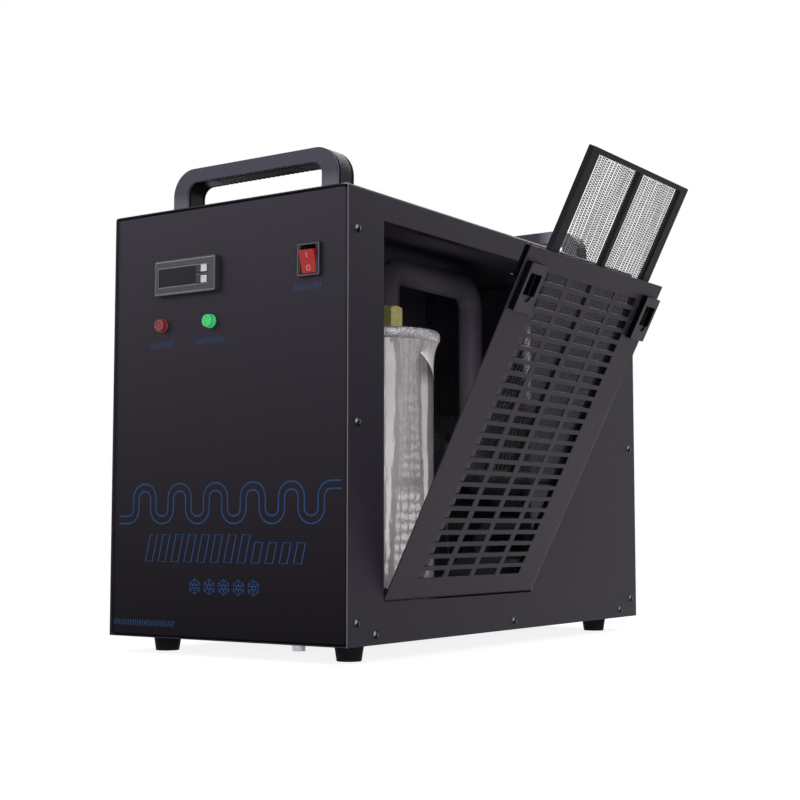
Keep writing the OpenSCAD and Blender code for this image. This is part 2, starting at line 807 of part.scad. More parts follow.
// Latch plate with a window for the finger, a notch under it and a strap behind the bolt
module latch_plate(s) on_hatch() color([0.2, 0.195, 0.21])
    mirror([0, s < 0 ? 1 : 0, 0]) {
        difference() {
            translate([0, latch_u, latch_v]) rotate([90, 0, 90])
                linear_extrude(latch_proud) rounded(latch_w, latch_h, 1);
            translate([0, window_u, window_v])
                cube([4 * latch_proud, window_w, window_h], center = true);
            translate([latch_proud, window_u, window_v - window_h / 2])
                rotate([0, 90, 0]) cylinder(h = 2 * thumb_d, r = thumb_r, center = true);
        }
        translate([-strap_n - strap_t, window_u + bolt_w / 2 - 1.4, strap_v])
            cube([strap_n + strap_t - sheet_t, strap_t, strap_h]);
        translate([-strap_n - strap_t, window_u - bolt_w / 2, strap_v])
            cube([strap_t, bolt_w, strap_h]);
    }

module latch_plate_front() latch_plate(-1);
module latch_plate_rear() latch_plate(1);

// Sliding bolt: a ribbed block behind the window and a tongue that slips behind the opening's lip
module latch_bolt(s) on_hatch() color(BLACK_PLASTIC)
    mirror([0, s < 0 ? 1 : 0, 0]) {
        difference() {
            translate([-bolt_front - bolt_block, window_u - bolt_w / 2 + 1.2, bolt_low])
                cube([bolt_block, bolt_w - 3, bolt_high - bolt_low]);
            for (i = [-2:2]) translate([-bolt_front, window_u, window_v - 2 + i * 3])
                cube([1.6, bolt_w + 2, 1.2], center = true);
        }
        translate([-bolt_stem_n - bolt_stem_t, stem_u, bolt_low + 14])
            cube([bolt_stem_n + bolt_stem_t - bolt_front - bolt_block, stem_w, 8]);
        translate([-bolt_stem_n - bolt_stem_t, stem_u, bolt_low + 14])
            cube([bolt_stem_t, stem_w, bolt_top - bolt_low - 14]);
    }

module latch_bolt_front() latch_bolt(-1);
module latch_bolt_rear() latch_bolt(1);

// Dust filter cassette, pulled up out of the hatch
module on_filter() on_hatch()
    translate([-filter_n - filter_t / 2, filter_off, filter_low + filter_out]) children();

module filter_frame() on_filter() color(BLACK_PLASTIC)
    rotate([90, 0, 90]) linear_extrude(filter_t, center = true) difference() {
        translate([0, filter_l / 2]) rounded(filter_w, filter_l, 1.5);
        for (s = [-1, 1]) translate([s * (filter_mid + panel_win) / 2, filter_foot + filter_win / 2])
            square([panel_win, filter_win], center = true);
    }

module filter_net() on_filter() color([0.12, 0.12, 0.13]) {
    pitch = panel_win / net_gaps;
    row = filter_win / 3;
    rotate([90, 0, 90]) linear_extrude(net_t, center = true)
        for (s = [-1, 1]) translate([s * (filter_mid + panel_win) / 2, filter_foot])
            difference() {
                translate([0, filter_win / 2]) square([panel_win, filter_win], center = true);
                for (i = [0:net_gaps - 1], j = [0:2])
                    translate([(i - net_gaps / 2) * pitch + net_thread / 2, j * row + net_thread / 2])
                        square([pitch - net_thread, row - net_thread]);
            }
}

// Tank and hoses

module tank_body() place() color(FOIL) translate([tank_cx, tank_cy, floor_z])
    rotate_extrude($fn = 96) difference() {
        union() {
            square([tank_r, rim_low - floor_z]);
            translate([0, rim_low - floor_z - flare_h]) polygon([
                [0, 0], [tank_r, 0], [tank_r + 1, 0.45 * flare_h], [tank_r + 2.6, 0.75 * flare_h],
                [rim_r - 1.4, flare_h], [0, flare_h]
            ]);
        }
        translate([tank_r - 1.2, 0]) square([1.3, 4]);
    }

module tank_rim() place() color([0.78, 0.77, 0.8]) translate([tank_cx, tank_cy, rim_low])
    rotate_extrude($fn = 96) {
        square([rim_r - 2.5, rim_h]);
        translate([0, 2.5]) square([rim_r, rim_h - 5]);
        for (z = [2.5, rim_h - 2.5]) translate([rim_r - 2.5, z]) circle(2.5);
    }

module tank_fitting() place() color(BRASS) translate([tank_cx, tank_cy, rim_top])
    intersection() {
        rotate([0, 0, 22]) cylinder(h = fitting_h, r = fitting_af / sqrt(3), $fn = 6);
        rotate_extrude() polygon([
            [0, 0], [fitting_af / sqrt(3), 0], [fitting_af / sqrt(3), fitting_h - 2],
            [fitting_af / 2, fitting_h], [0, fitting_h]
        ]);
    }

module return_hose() place() color(BLACK_PLASTIC) bent_bar([
        [tank_cx, tank_cy, fitting_top], [tank_cx, tank_cy, hose_level],
        [tank_cx, hose_back_y, hose_level], [tank_cx, hose_back_y, return_z],
        [port_x, hose_back_y, return_z], [port_x, half_l - port_in, return_z]
    ], foam_r, hose_bend);

module supply_hose() place() color(BLACK_PLASTIC) bent_bar([
        [pump_cx, outlet_y, outlet_z], [pump_cx, outlet_y, supply_z],
        [port_x, outlet_y, supply_z], [port_x, half_l - port_in, supply_z]
    ], hose_r, hose_bend);

module pump_inlet_hose() place() color(BLACK_PLASTIC) {
    inlet_r = hose_r - 1;
    reach = sqrt(tank_r * tank_r - pow(max(0, pump_cx - inlet_r - tank_cx), 2));
    leg([pump_cx, tank_cy + reach + seat, pump_z], [pump_cx, pump_cy - 8, pump_z], inlet_r);
}

module pump() place() color([0.12, 0.13, 0.16]) {
    translate([pump_cx, pump_cy, pump_z]) rotate([-90, 0, 0]) {
        translate([0, 0, -8]) cylinder(h = 9, r = hose_r - 2.5);
        cylinder(h = volute_d, r = volute_r);
        translate([0, 0, volute_d]) cylinder(h = motor_l, r = pump_r);
    }
    translate([pump_cx, outlet_y, pump_z]) cylinder(h = outlet_z - pump_z, r = hose_r - 2.5);
    difference() {
        translate([pump_cx - 26, pump_cy + volute_d + 6, floor_z])
            cube([52, motor_l - 16, pump_z - floor_z]);
        translate([pump_cx, pump_cy, pump_z]) rotate([-90, 0, 0])
            cylinder(h = 2 * motor_l, r = pump_r - 1);
    }
}

module filler_hose() place() color(BLACK_PLASTIC)
    leg([filler_x, tank_cy, rim_top], [filler_x, tank_cy, neck_low], filler_r);

module filler_neck() place() color(BLACK_PLASTIC) translate([filler_x, tank_cy, 0])
    rotate_extrude() difference() {
        union() {
            translate([0, neck_low]) square([neck_r, neck_top - neck_low]);
            translate([0, case_top]) square([cap_r + 3, 3]);
            translate([0, case_top - sheet_t - 5]) square([cap_r + 1, 5]);
        }
        translate([0, neck_low + 1]) square([neck_r - 4, neck_top]);
    }

module filler_cap() place() color(BLACK_PLASTIC) translate([filler_x, tank_cy, case_top + 3 + seat])
    difference() {
        rotate_extrude() {
            square([cap_r, cap_h - 2]);
            square([cap_r - 2, cap_h]);
            translate([cap_r - 2, cap_h - 2]) circle(2);
        }
        translate([0, 0, -1]) cylinder(h = neck_top - case_top - 3 + 1.5, r = neck_r + seat);
        for (a = [0:20:340]) rotate([0, 0, a]) translate([cap_r + 0.6, 0, -1])
            cylinder(h = cap_h + 2, r = 1.4, $fn = 24);
    }

// Compressor and pipes

module compressor_shell() place() color([0.07, 0.07, 0.075])
    translate([comp_cx, comp_cy, shell_low]) rotate_extrude($fn = 96) {
        crown = 0.46 * comp_r;
        square([comp_r - crown, comp_h]);
        translate([0, crown]) square([comp_r, comp_h - 2 * crown]);
        for (z = [crown, comp_h - crown]) translate([comp_r - crown, z]) circle(crown);
        translate([0, comp_h * 0.62]) square([comp_r + comp_band, 8]);
    }

module compressor_base() place() color([0.07, 0.07, 0.075])
    translate([comp_cx, comp_cy, floor_z + grommet_h]) difference() {
        linear_extrude(plate_t) {
            circle(comp_r - 8);
            for (a = base_ears) rotate([0, 0, a]) {
                translate([0, -14]) square([ear_r, 28]);
                translate([ear_r, 0]) circle(14);
            }
        }
        for (a = base_ears) rotate([0, 0, a]) translate([ear_r, 0, -1])
            cylinder(h = plate_t + 2, r = 4.2);
    }

module compressor_grommets() place() color([0.05, 0.05, 0.05])
    for (a = base_ears)
        translate([comp_cx + ear_r * cos(a), comp_cy + ear_r * sin(a), floor_z])
            rotate_extrude() difference() {
                square([10, grommet_h]);
                translate([10, grommet_h / 2]) circle(2.5);
            }

module terminal_cover() place() color(BLACK_PLASTIC)
    translate([comp_cx - 14, comp_cy, shell_top + 9]) difference() {
        cube([24, 30, 18], center = true);
        translate([0, 16, -6]) cube([8, 6, 6], center = true);
    }

module accumulator() place() color([0.08, 0.08, 0.085]) {
    translate([comp_cx, acc_cy, acc_low]) rotate_extrude() {
        crown = 8;
        square([acc_r - crown, acc_high - acc_low]);
        translate([0, crown]) square([acc_r, acc_high - acc_low - 2 * crown]);
        for (z = [crown, acc_high - acc_low - crown]) translate([acc_r - crown, z]) circle(crown);
    }
    bent_bar([
        [comp_cx, acc_cy, acc_low + 1], [comp_cx, acc_cy, acc_low - 30],
        [comp_cx, comp_cy - comp_r, acc_low - 30]
    ], 5, 12);
}

module discharge_pipe() place() color(COPPER) bent_bar([
        [comp_cx + 14, comp_cy, shell_top], [comp_cx + 14, comp_cy, discharge_top],
        [pipe_x, comp_cy, discharge_top], [pipe_x, tube_y, discharge_top],
        [pipe_x, tube_y, high_tube_z], [tube_left, tube_y, high_tube_z]
    ], copper_r, 8);

module suction_pipe() place() color(BLACK_PLASTIC) bent_bar([
        [tank_cx - lid_side, tank_cy + lid_back, rim_top],
        [tank_cx - lid_side, tank_cy + lid_back, suction_top],
        [comp_cx, tank_cy + lid_back, suction_top], [comp_cx, acc_cy, suction_top],
        [comp_cx, acc_cy, acc_high]
    ], suction_r, 12);

module liquid_pipe() place() color(COPPER) bent_bar([
        [tube_left, tube_y, low_tube_z], [pipe_x, tube_y, low_tube_z],
        [pipe_x, drier_back, low_tube_z]
    ], copper_r, 8);

module filter_drier() place() color(COPPER)
    translate([pipe_x, drier_back, low_tube_z]) rotate([90, 0, 0]) rotate_extrude() {
        len = drier_back - drier_front;
        square([copper_r + 1, len]);
        translate([0, 10]) square([drier_r, len - 20]);
        polygon([
            [copper_r + 1, 3], [drier_r, 10], [drier_r, len - 10],
            [copper_r + 1, len - 3], [0, len], [0, 0]
        ]);
    }

// Thin copper tube: out of the drier, three turns, then down through the tank's lid
capillary_route = concat(
    [[pipe_x, drier_front, low_tube_z], [pipe_x, drier_front - 20, low_tube_z],
     [pipe_x, coil_y + 35, low_tube_z + 6]],
    [for (i = [0:coil_turns * coil_steps])
        let (a = 180 + i * 360 / coil_steps)
            [coil_x + coil_r * cos(a), coil_y + coil_r * sin(a),
             low_tube_z + 12 + i * coil_pitch / coil_steps]],
    [[pipe_x, coil_y - 25, low_tube_z + 30], [pipe_x, lid_y + 26, 180], [pipe_x, lid_y + 12, rim_top - 27],
     [pipe_x + 4, lid_y + 4, rim_top + 13], [pipe_x + 20, lid_y - 2, rim_top + 25],
     [pipe_x + 60, lid_y - 4, rim_top + 27], [lid_x - 30, lid_y - 4, rim_top + 25],
     [lid_x - 8, lid_y - 2, rim_top + 19], [lid_x - 2, lid_y - 1, rim_top + 11], [lid_x, lid_y, rim_top + seat]]
);

// Tube of radius r through the given points
function tangent(p, i) = unit(p[min(i + 1, len(p) - 1)] - p[max(i - 1, 0)]);
function side(t) = unit(cross(t, abs(t[2]) < 0.9 ? [0, 0, 1] : [1, 0, 0]));

module swept_tube(p, r, sides) {
    frames = [for (i = 0, s = side(tangent(p, 0)); i < len(p);
        i = i + 1, s = i < len(p) ? let (t = tangent(p, i)) unit(s - t * (s * t)) : s) s];
    rings = [for (i = [0:len(p) - 1])
        let (t = tangent(p, i), s = frames[i], b = cross(t, s))
            [for (k = [0:sides - 1]) p[i] + r * (cos(k * 360 / sides) * s + sin(k * 360 / sides) * b)]];
    pts = [for (ring = rings) each ring];
    n = len(p);
    walls = [for (i = [0:n - 2], k = [0:sides - 1])
        let (a = i * sides + k, b = i * sides + (k + 1) % sides) [a, a + sides, b + sides, b]];
    caps = [[for (k = [0:sides - 1]) k], [for (k = [sides - 1:-1:0]) (n - 1) * sides + k]];
    polyhedron(pts, concat(walls, caps));
}

module capillary() place() color(COPPER) swept_tube(capillary_route, capillary_r, 8);

// Condenser and fan

module condenser() place() color(BLACK_SHEET) {
    fin_pitch = (cond_w - fin_t) / (fin_count - 1);
    for (i = [0:fin_count - 1]) {
        ends = i == 0 || i == fin_count - 1;
        translate([tube_left + i * fin_pitch, cond_y, ends ? floor_z : cond_low])
            cube([fin_t, cond_d, cond_low + cond_h - (ends ? floor_z : cond_low)]);
    }
    for (i = [0:cond_tubes - 1])
        translate([tube_left, tube_y, low_tube_z + i * tube_pitch]) rotate([0, 90, 0])
            cylinder(h = cond_w, r = cond_tube_r);
    for (i = [0:cond_tubes - 2]) {
        right = i % 2 == 0;
        translate([right ? tube_left + cond_w : tube_left, tube_y, low_tube_z + (i + 0.5) * tube_pitch])
            mirror([right ? 0 : 1, 0, 0]) rotate([0, -90, -90])
                rotate_extrude(angle = 180) translate([tube_pitch / 2, 0]) circle(cond_tube_r);
    }
}

module fan_shroud() place() color(BLACK_SHEET) {
    translate([fan_x, shroud_y, fan_z]) rotate([-90, 0, 0]) {
        linear_extrude(shroud_d) difference() {
            square([cond_w, cond_h], center = true);
            square([cond_w - 2 * sheet_t, cond_h - 2 * sheet_t], center = true);
        }
        translate([0, 0, shroud_d - sheet_t]) linear_extrude(sheet_t) difference() {
            square([cond_w, cond_h], center = true);
            circle(ring_r, $fn = 96);
        }
        translate([0, 0, shroud_d]) rotate_extrude($fn = 96) translate([ring_r, 0]) square([sheet_t, blade_d]);
    }
}

module fan_motor() place() color([0.3, 0.3, 0.32]) translate([fan_x, motor_y0, fan_z])
    rotate([-90, 0, 0]) {
        body = shroud_d - 4 - sheet_t;
        rotate_extrude() {
            square([motor_r - 3, body]);
            translate([0, 3]) square([motor_r, body - 6]);
            for (z = [3, body - 3]) translate([motor_r - 3, z]) circle(3);
            translate([0, body - 2]) square([shaft_r - run, 24]);
        }
        for (a = [45:90:315]) rotate([0, 0, a])
            translate([motor_r - 4, -4, body - 3]) cube([ring_r + 6 - motor_r + 4, 8, 3]);
    }

module fan_rotor() place() color([0.1, 0.1, 0.11]) translate([fan_x, rotor_y, fan_z])
    rotate([-90, 0, 0]) {
        depth = blade_d - 6;
        difference() {
            rotate_extrude() polygon([
                [0, 0], [hub_r, 0], [hub_r, depth - 1.2], [hub_r - 1.2, depth], [0, depth]
            ]);
            translate([0, 0, -1]) cylinder(h = shaft_hold, r = shaft_r);
        }
        for (i = [0:blade_count - 1]) rotate([0, 0, i * 360 / blade_count]) blade(depth);
    }

// Blade: a thin plate pitched about its own line outwards and cut to the fan's circle
module blade(depth) {
    intersection() {
        translate([hub_r - 2, 0, depth / 2]) rotate([blade_pitch, 0, 0])
            translate([0, -blade_w / 2, -blade_t / 2]) cube([fan_r, blade_w, blade_t]);
        cylinder(h = depth, r = fan_r, $fn = 96);
    }
}

module fan_guard() place() color(CHROME) translate([fan_x, half_l, fan_z]) rotate([-90, 0, 0]) {
    for (r = [18:12:ring_r + 4]) translate([0, 0, guard_out])
        rotate_extrude($fn = 96) translate([r, 0]) circle(guard_wire, $fn = 16);
    for (a = [45:90:315]) rotate([0, 0, a]) {
        translate([16, 0, guard_out - 1.4]) rotate([0, 90, 0]) cylinder(h = ring_r - 14, r = guard_wire, $fn = 16);
        translate([guard_bolt, 0, 0]) difference() {
            union() {
                cylinder(h = 1.4, r = 5);
                translate([-guard_bolt + ring_r + 2, 0, 0.01]) cylinder(h = guard_out, r = guard_wire, $fn = 16);
            }
            translate([0, 0, -1]) cylinder(h = 4, r = 2);
        }
    }
}

// Rear connections

module water_port(z) place() color(BRASS) translate([port_x, half_l, z]) rotate([-90, 0, 0])
    difference() {
        union() {
            cylinder(h = port_out, r = 12, $fn = 6);
            translate([0, 0, -sheet_t]) cylinder(h = sheet_t + 1, r = port_bush_r - seat);
            translate([0, 0, -sheet_t - 4]) cylinder(h = 4, r = 11);
            translate([0, 0, -port_in]) cylinder(h = port_in, r = hose_r - 2.5);
        }
        translate([0, 0, port_out - port_depth]) cylinder(h = port_depth + 1, r = port_r);
    }

module supply_port() water_port(supply_z);
module return_port() water_port(return_z);

module power_inlet() place() color(BLACK_PLASTIC) translate([inlet_x, half_l, inlet_z])
    rotate([-90, 0, 0]) {
        difference() {
            union() {
                linear_extrude(3) rounded(inlet_w, inlet_h, 2);
                translate([0, 0, -22]) linear_extrude(22.5) square([inlet_w - 4, inlet_h - 4], center = true);
            }
            translate([0, 0, 3 - inlet_deep]) linear_extrude(inlet_deep + 1)
                square([inlet_w - 7, inlet_h - 7.5], center = true);
        }
        for (p = [[-7, 1], [7, 1], [0, 5]])
            translate([p[0], -p[1], 3 - inlet_deep + 6.5]) cube([2, 4, 14], center = true);
    }

module level_gauge() place() color([0.8, 0.85, 0.88, 0.6]) translate([port_x, half_l, gauge_z])
    rotate([-90, 0, 0]) {
        linear_extrude(4) rounded(20, 2 * gauge_bolt + 22, 6);
        translate([0, -gauge_bolt + 12, 4]) rotate([-90, 0, 0]) cylinder(h = 2 * gauge_bolt - 24, r = 4);
        for (s = [-1, 1]) translate([0, s * gauge_bolt, -10]) {
            cylinder(h = 17, r = gauge_stem);
            translate([0, 0, 14]) cylinder(h = 3, r = 7, $fn = 6);
            translate([0, 0, 10 - sheet_t - 4]) cylinder(h = 4, r = 7);
        }
    }

module drain_plug() place() color(CHROME) translate([drain_x, drain_y, 0]) {
    translate([0, 0, foot_h - 4]) cylinder(h = 4, r = drain_r + 1.5);
    translate([0, 0, foot_h - drain_out]) cylinder(h = drain_out, r = drain_r + 0.8, $fn = 6);
    translate([0, 0, foot_h - 1]) cylinder(h = sheet_t + 6, r = drain_r);
    translate([0, 0, floor_z]) cylinder(h = 4, r = drain_r + 3, $fn = 6);
}

base_tray();
outer_cover();
front_panel();
rear_panel();
cover_screws();
foot_front_left();
foot_front_right();
foot_rear_left();
foot_rear_right();
handle_front();
handle_rear();
controller_body();
controller_window();
button_up();
button_down();
switch_body();
rocker();
lamp_red();
lamp_green();
hatch_panel();
hinge_pins();
filter_rail_front();
filter_rail_rear();
latch_plate_front();
latch_plate_rear();
latch_bolt_front();
latch_bolt_rear();
filter_frame();
filter_net();
tank_body();
tank_rim();
tank_fitting();
return_hose();
filler_hose();
filler_neck();
filler_cap();
compressor_shell();
compressor_base();
compressor_grommets();
terminal_cover();
accumulator();
discharge_pipe();
suction_pipe();
liquid_pipe();
filter_drier();
capillary();
condenser();
fan_shroud();
fan_motor();
fan_rotor();
fan_guard();
pump();
pump_inlet_hose();
supply_hose();
supply_port();
return_port();
power_inlet();
level_gauge();
drain_plug();
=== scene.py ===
import bpy
import json
import math
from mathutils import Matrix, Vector, noise


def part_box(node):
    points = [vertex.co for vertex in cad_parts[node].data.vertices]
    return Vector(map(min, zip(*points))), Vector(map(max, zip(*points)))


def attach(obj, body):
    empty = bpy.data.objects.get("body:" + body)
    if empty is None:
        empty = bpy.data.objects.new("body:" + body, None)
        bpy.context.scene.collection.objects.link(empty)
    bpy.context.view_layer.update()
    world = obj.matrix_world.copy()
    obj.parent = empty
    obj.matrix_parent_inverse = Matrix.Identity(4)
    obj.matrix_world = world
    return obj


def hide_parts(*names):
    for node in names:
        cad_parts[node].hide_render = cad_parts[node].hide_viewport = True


# Looks of the compressor chiller: materials on its solids, and the fine pieces that only the eye needs

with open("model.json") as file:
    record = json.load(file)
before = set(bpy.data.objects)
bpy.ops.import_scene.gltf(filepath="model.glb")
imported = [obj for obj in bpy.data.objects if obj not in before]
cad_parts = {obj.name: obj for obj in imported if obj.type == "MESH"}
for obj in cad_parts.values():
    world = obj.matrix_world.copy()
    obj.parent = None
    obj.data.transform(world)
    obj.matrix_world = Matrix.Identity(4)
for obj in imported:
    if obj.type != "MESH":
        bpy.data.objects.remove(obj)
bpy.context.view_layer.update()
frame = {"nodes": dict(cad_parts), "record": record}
nodes = frame["nodes"]
joints = {joint["name"]: joint for joint in frame["record"]["behaviour"]["joints"]}
MM = 0.001
EVEN = (1, 1, 1)
FRONT = Vector((0, -1, 0))


def corners(node):
    low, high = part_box(node)
    return Vector(low), Vector(high)


cover_low, cover_high = corners("outer_cover")
middle = (cover_low + cover_high) / 2
case_top = cover_high.z
front_y = corners("front_panel")[0].y

# The hatch's frame at rest: its hinge, and the directions up along it and out of its face
hinge = Vector(joints["hatch_tilt"]["pos_m"])
tilt = math.radians(-joints["hatch_tilt"]["range_deg"][0])
UP = Vector((math.sin(tilt), 0, math.cos(tilt)))
OUT = Vector((math.cos(tilt), 0, -math.sin(tilt)))
PIN_INSET = 3


def on_hatch(n, u, v):
    """Point on the hatch: n out of its face, u along it, v up it, in millimetres. The hinge pins sit
    PIN_INSET inside the face and above the lower edge."""
    return hinge + OUT * (PIN_INSET + n) * MM + Vector((0, u * MM, 0)) + UP * (v - PIN_INSET) * MM


class Shader:
    """Node tree of a material or of the world, with short forms for the nodes used here. A value is
    a number, a colour, or the output of another node."""

    def __init__(self, owner):
        owner.use_nodes = True
        self.nodes, self.links = owner.node_tree.nodes, owner.node_tree.links

    def new(self, kind, **settings):
        node = self.nodes.new("ShaderNode" + kind)
        for key, value in settings.items():
            setattr(node, key, value)
        return node

    def put(self, value, sock):
        if isinstance(value, bpy.types.NodeSocket):
            self.links.new(value, sock)
        elif sock.type == "RGBA":
            sock.default_value = (*value, 1)
        else:
            sock.default_value = value

    def maths(self, operation, a, b):
        node = self.new("Math", operation=operation)
        self.put(a, node.inputs[0])
        self.put(b, node.inputs[1])
        return node.outputs[0]

    def product(self, a, b):
        return self.maths("MULTIPLY", a, b)

    def ranged(self, value, low, high, start=0.3, stop=0.7):
        """The value's stretch from start to stop, turned into one from low to high."""
        node = self.new("MapRange")
        for key, given in (("Value", value), ("From Min", start), ("From Max", stop),
                           ("To Min", low), ("To Max", high)):
            self.put(given, node.inputs[key])
        return node.outputs[0]

    def blend(self, share, a, b, kind="MIX"):
        """Colour mix; its colour sockets share names with the number ones and go by index."""
        node = self.new("Mix", data_type="RGBA", blend_type=kind)
        for value, index in ((share, 0), (a, 6), (b, 7)):
            self.put(value, node.inputs[index])
        return node.outputs[2]

    def cloud(self, place, scale, detail=3.0, stretch=EVEN, kind="noise"):
        """Noise, or cells, of that scale per metre."""
        mapping = self.new("Mapping")
        self.put(place, mapping.inputs["Vector"])
        self.put([scale * s for s in stretch], mapping.inputs["Scale"])
        if kind == "cells":
            cells = self.new("TexVoronoi", feature="SMOOTH_F1")
            self.put(mapping.outputs[0], cells.inputs["Vector"])
            return cells.outputs["Distance"]
        fog = self.new("TexNoise")
        self.put(mapping.outputs[0], fog.inputs["Vector"])
        self.put(detail, fog.inputs["Detail"])
        return fog.outputs["Fac"]

    def seen(self):
        """1 for rays that show the background itself: camera, glossy and transmitted ones."""
        rays = self.new("LightPath").outputs
        direct = self.maths("MAXIMUM", rays["Is Camera Ray"], rays["Is Glossy Ray"])
        return self.maths("MAXIMUM", direct, rays["Is Transmission Ray"])


# Camera, light and background

# Fitted to the case's edges in the photo; the place counts from the case's middle line and the floor
LENS_MM = 66.97
CAMERA_PLACE = (0.9223, -1.3615, 0.1223)
CAMERA_LOOK = (-0.5583, 0.8252, 0.0849)


def aim(obj, target):
    obj.rotation_euler = (target - obj.location).to_track_quat("-Z", "Y").to_euler()


def set_camera():
    camera = bpy.data.objects.new("camera", bpy.data.cameras.new("camera"))
    bpy.context.collection.objects.link(camera)
    camera.data.lens = LENS_MM
    camera.data.sensor_width = 36
    camera.location = (middle.x + CAMERA_PLACE[0], middle.y + CAMERA_PLACE[1], CAMERA_PLACE[2])
    aim(camera, camera.location + Vector(CAMERA_LOOK))
    bpy.context.scene.camera = camera


def lamp(name, place, target, size, watts, mirrored=True):
    """Area lamp at a place, aimed at a target, all in metres; shiny faces can be kept from showing it."""
    data = bpy.data.lights.new(name, "AREA")
    data.shape = "RECTANGLE"
    data.size, data.size_y = size
    data.energy = watts
    obj = bpy.data.objects.new(name, data)
    bpy.context.collection.objects.link(obj)
    obj.location = place
    obj.visible_glossy = mirrored
    aim(obj, Vector(target))


def studio():
    """White where the background is seen, and a softer white for the light it gives."""
    bpy.context.scene.view_settings.view_transform = "Standard"
    world = bpy.data.worlds.new("studio")
    bpy.context.scene.world = world
    shader = Shader(world)
    mix = shader.new("MixShader")
    shader.put(shader.seen(), mix.inputs[0])
    for node, strength, sock in ((shader.nodes["Background"], 0.4, mix.inputs[1]),
                                 (shader.new("Background"), 1.0, mix.inputs[2])):
        shader.put(EVEN, node.inputs["Color"])
        shader.put(strength, node.inputs["Strength"])
        shader.put(node.outputs[0], sock)
    shader.put(mix.outputs[0], shader.nodes["World Output"].inputs["Surface"])


def floor():
    """Floor with a faint shadow near the object, which turns into the white background farther out.
    What it throws back at the object is the same all over."""
    half, fade_start, fade_end = 6.0, 0.45, 1.3
    mesh = bpy.data.meshes.new("floor")
    square = [(-half, -half, 0), (half, -half, 0), (half, half, 0), (-half, half, 0)]
    mesh.from_pydata(square, [], [(0, 1, 2, 3)])
    obj = bpy.data.objects.new("floor", mesh)
    bpy.context.collection.objects.link(obj)
    mat = bpy.data.materials.new("floor")
    shader = Shader(mat)
    shader.nodes.remove(shader.nodes["Principled BSDF"])
    length = shader.new("VectorMath", operation="LENGTH")
    shader.put(shader.new("TexCoord").outputs["Object"], length.inputs[0])
    away, seen = length.outputs["Value"], shader.seen()
    shade = shader.new("Mix", data_type="FLOAT")
    shader.put(seen, shade.inputs[0])
    shader.put(0.85, shade.inputs[2])
    shader.put(shader.ranged(away, 0.32, 0.0, fade_start, fade_end), shade.inputs[3])
    diffuse = shader.new("BsdfDiffuse")
    shader.put(shade.outputs[0], diffuse.inputs["Color"])
    glow = shader.new("Emission")
    strength = shader.product(seen, shader.ranged(away, 0.86, 1.0, fade_start, fade_end))
    shader.put(strength, glow.inputs["Strength"])
    both = shader.new("AddShader")
    shader.put(diffuse.outputs[0], both.inputs[0])
    shader.put(glow.outputs[0], both.inputs[1])
    shader.put(both.outputs[0], shader.nodes["Material Output"].inputs["Surface"])
    mesh.materials.append(mat)


set_camera()
lamp("key", (1.8, -1.2, 1.8), (0, 0, 0.2), (1.4, 1.4), 19)
lamp("level", (1.6, -1.9, 0.22), (-0.1, 0.0, 0.30), (1.0, 0.35), 34, mirrored=False)
lamp("fill", (-1.6, -2.2, 1.3), (-0.1, 0, 0.25), (1.6, 1.2), 16.5)
lamp("inside", (0.0, -0.03, 0.27), (-0.08, 0.07, 0.43), (0.1, 0.1), 0.24, mirrored=False)
lamp("back", (-0.4, 2.2, 1.6), (-0.1, 0.2, 0.3), (1.6, 1.0), 26)
studio()
floor()

# How materials are made

FAR = 1  # open end of a zone, in metres
FACING = (0.4, 0.6)  # share of a zone's direction from which a face belongs to it, and belongs in full
DULL = 0.1  # share of its shine that a dull zone keeps


def grain(scale, depth, stretch=EVEN, kind="noise"):
    """Bump layer of noise or cells: its scale per metre and its depth in millimetres."""
    return kind, scale, stretch, depth


def zone(colour, soft=0.15, facing=None, away=None, dull=False, **spans):
    """Part of a piece with its own colour, which paints light or shade on it, and with less shine if it
    is dull. spans are x, y or z = (low, high) in metres, each with its own soft edge in millimetres
    after them if it isn't soft. facing or away is a direction that its faces look to or turn from; a
    shorter one takes fewer."""
    limits = []
    for axis, (low, high, *own) in spans.items():
        limits.append(("xyz".index(axis), low, high, (own[0] if own else soft) * MM))
    return colour, facing, away, dull, limits


def zone_share(shader, coords, axes, facing, away, limits):
    """How far a point belongs to a zone, from 0 to 1."""
    share = 1.0
    for axis, low, high, soft in limits:
        share = shader.product(shader.ranged(axes[axis], 0.0, 1.0, low - soft, low + soft), share)
        share = shader.product(shader.ranged(axes[axis], 1.0, 0.0, high - soft, high + soft), share)
    if facing or away:
        turn = shader.new("VectorMath", operation="DOT_PRODUCT")
        shader.put(coords["Normal"], turn.inputs[0])
        shader.put(facing or away, turn.inputs[1])
        low, high = (0.0, 1.0) if facing else (1.0, 0.0)
        share = shader.product(shader.ranged(turn.outputs["Value"], low, high, *FACING), share)
    return share


def relief(shader, place, edge, bumps):
    """Normal with rounded edges and bumps, or None for a piece that has neither."""
    normal = None
    if edge:
        round_off = shader.new("Bevel")
        shader.put(edge * MM, round_off.inputs["Radius"])
        normal = round_off.outputs[0]
    for kind, scale, stretch, depth in bumps:
        bump = shader.new("Bump")
        shader.put(1.0, bump.inputs["Strength"])
        shader.put(depth * MM, bump.inputs["Distance"])
        shader.put(shader.cloud(place, scale, 2.0, stretch, kind), bump.inputs["Height"])
        if normal:
            shader.put(normal, bump.inputs["Normal"])
        normal = bump.outputs[0]
    return normal


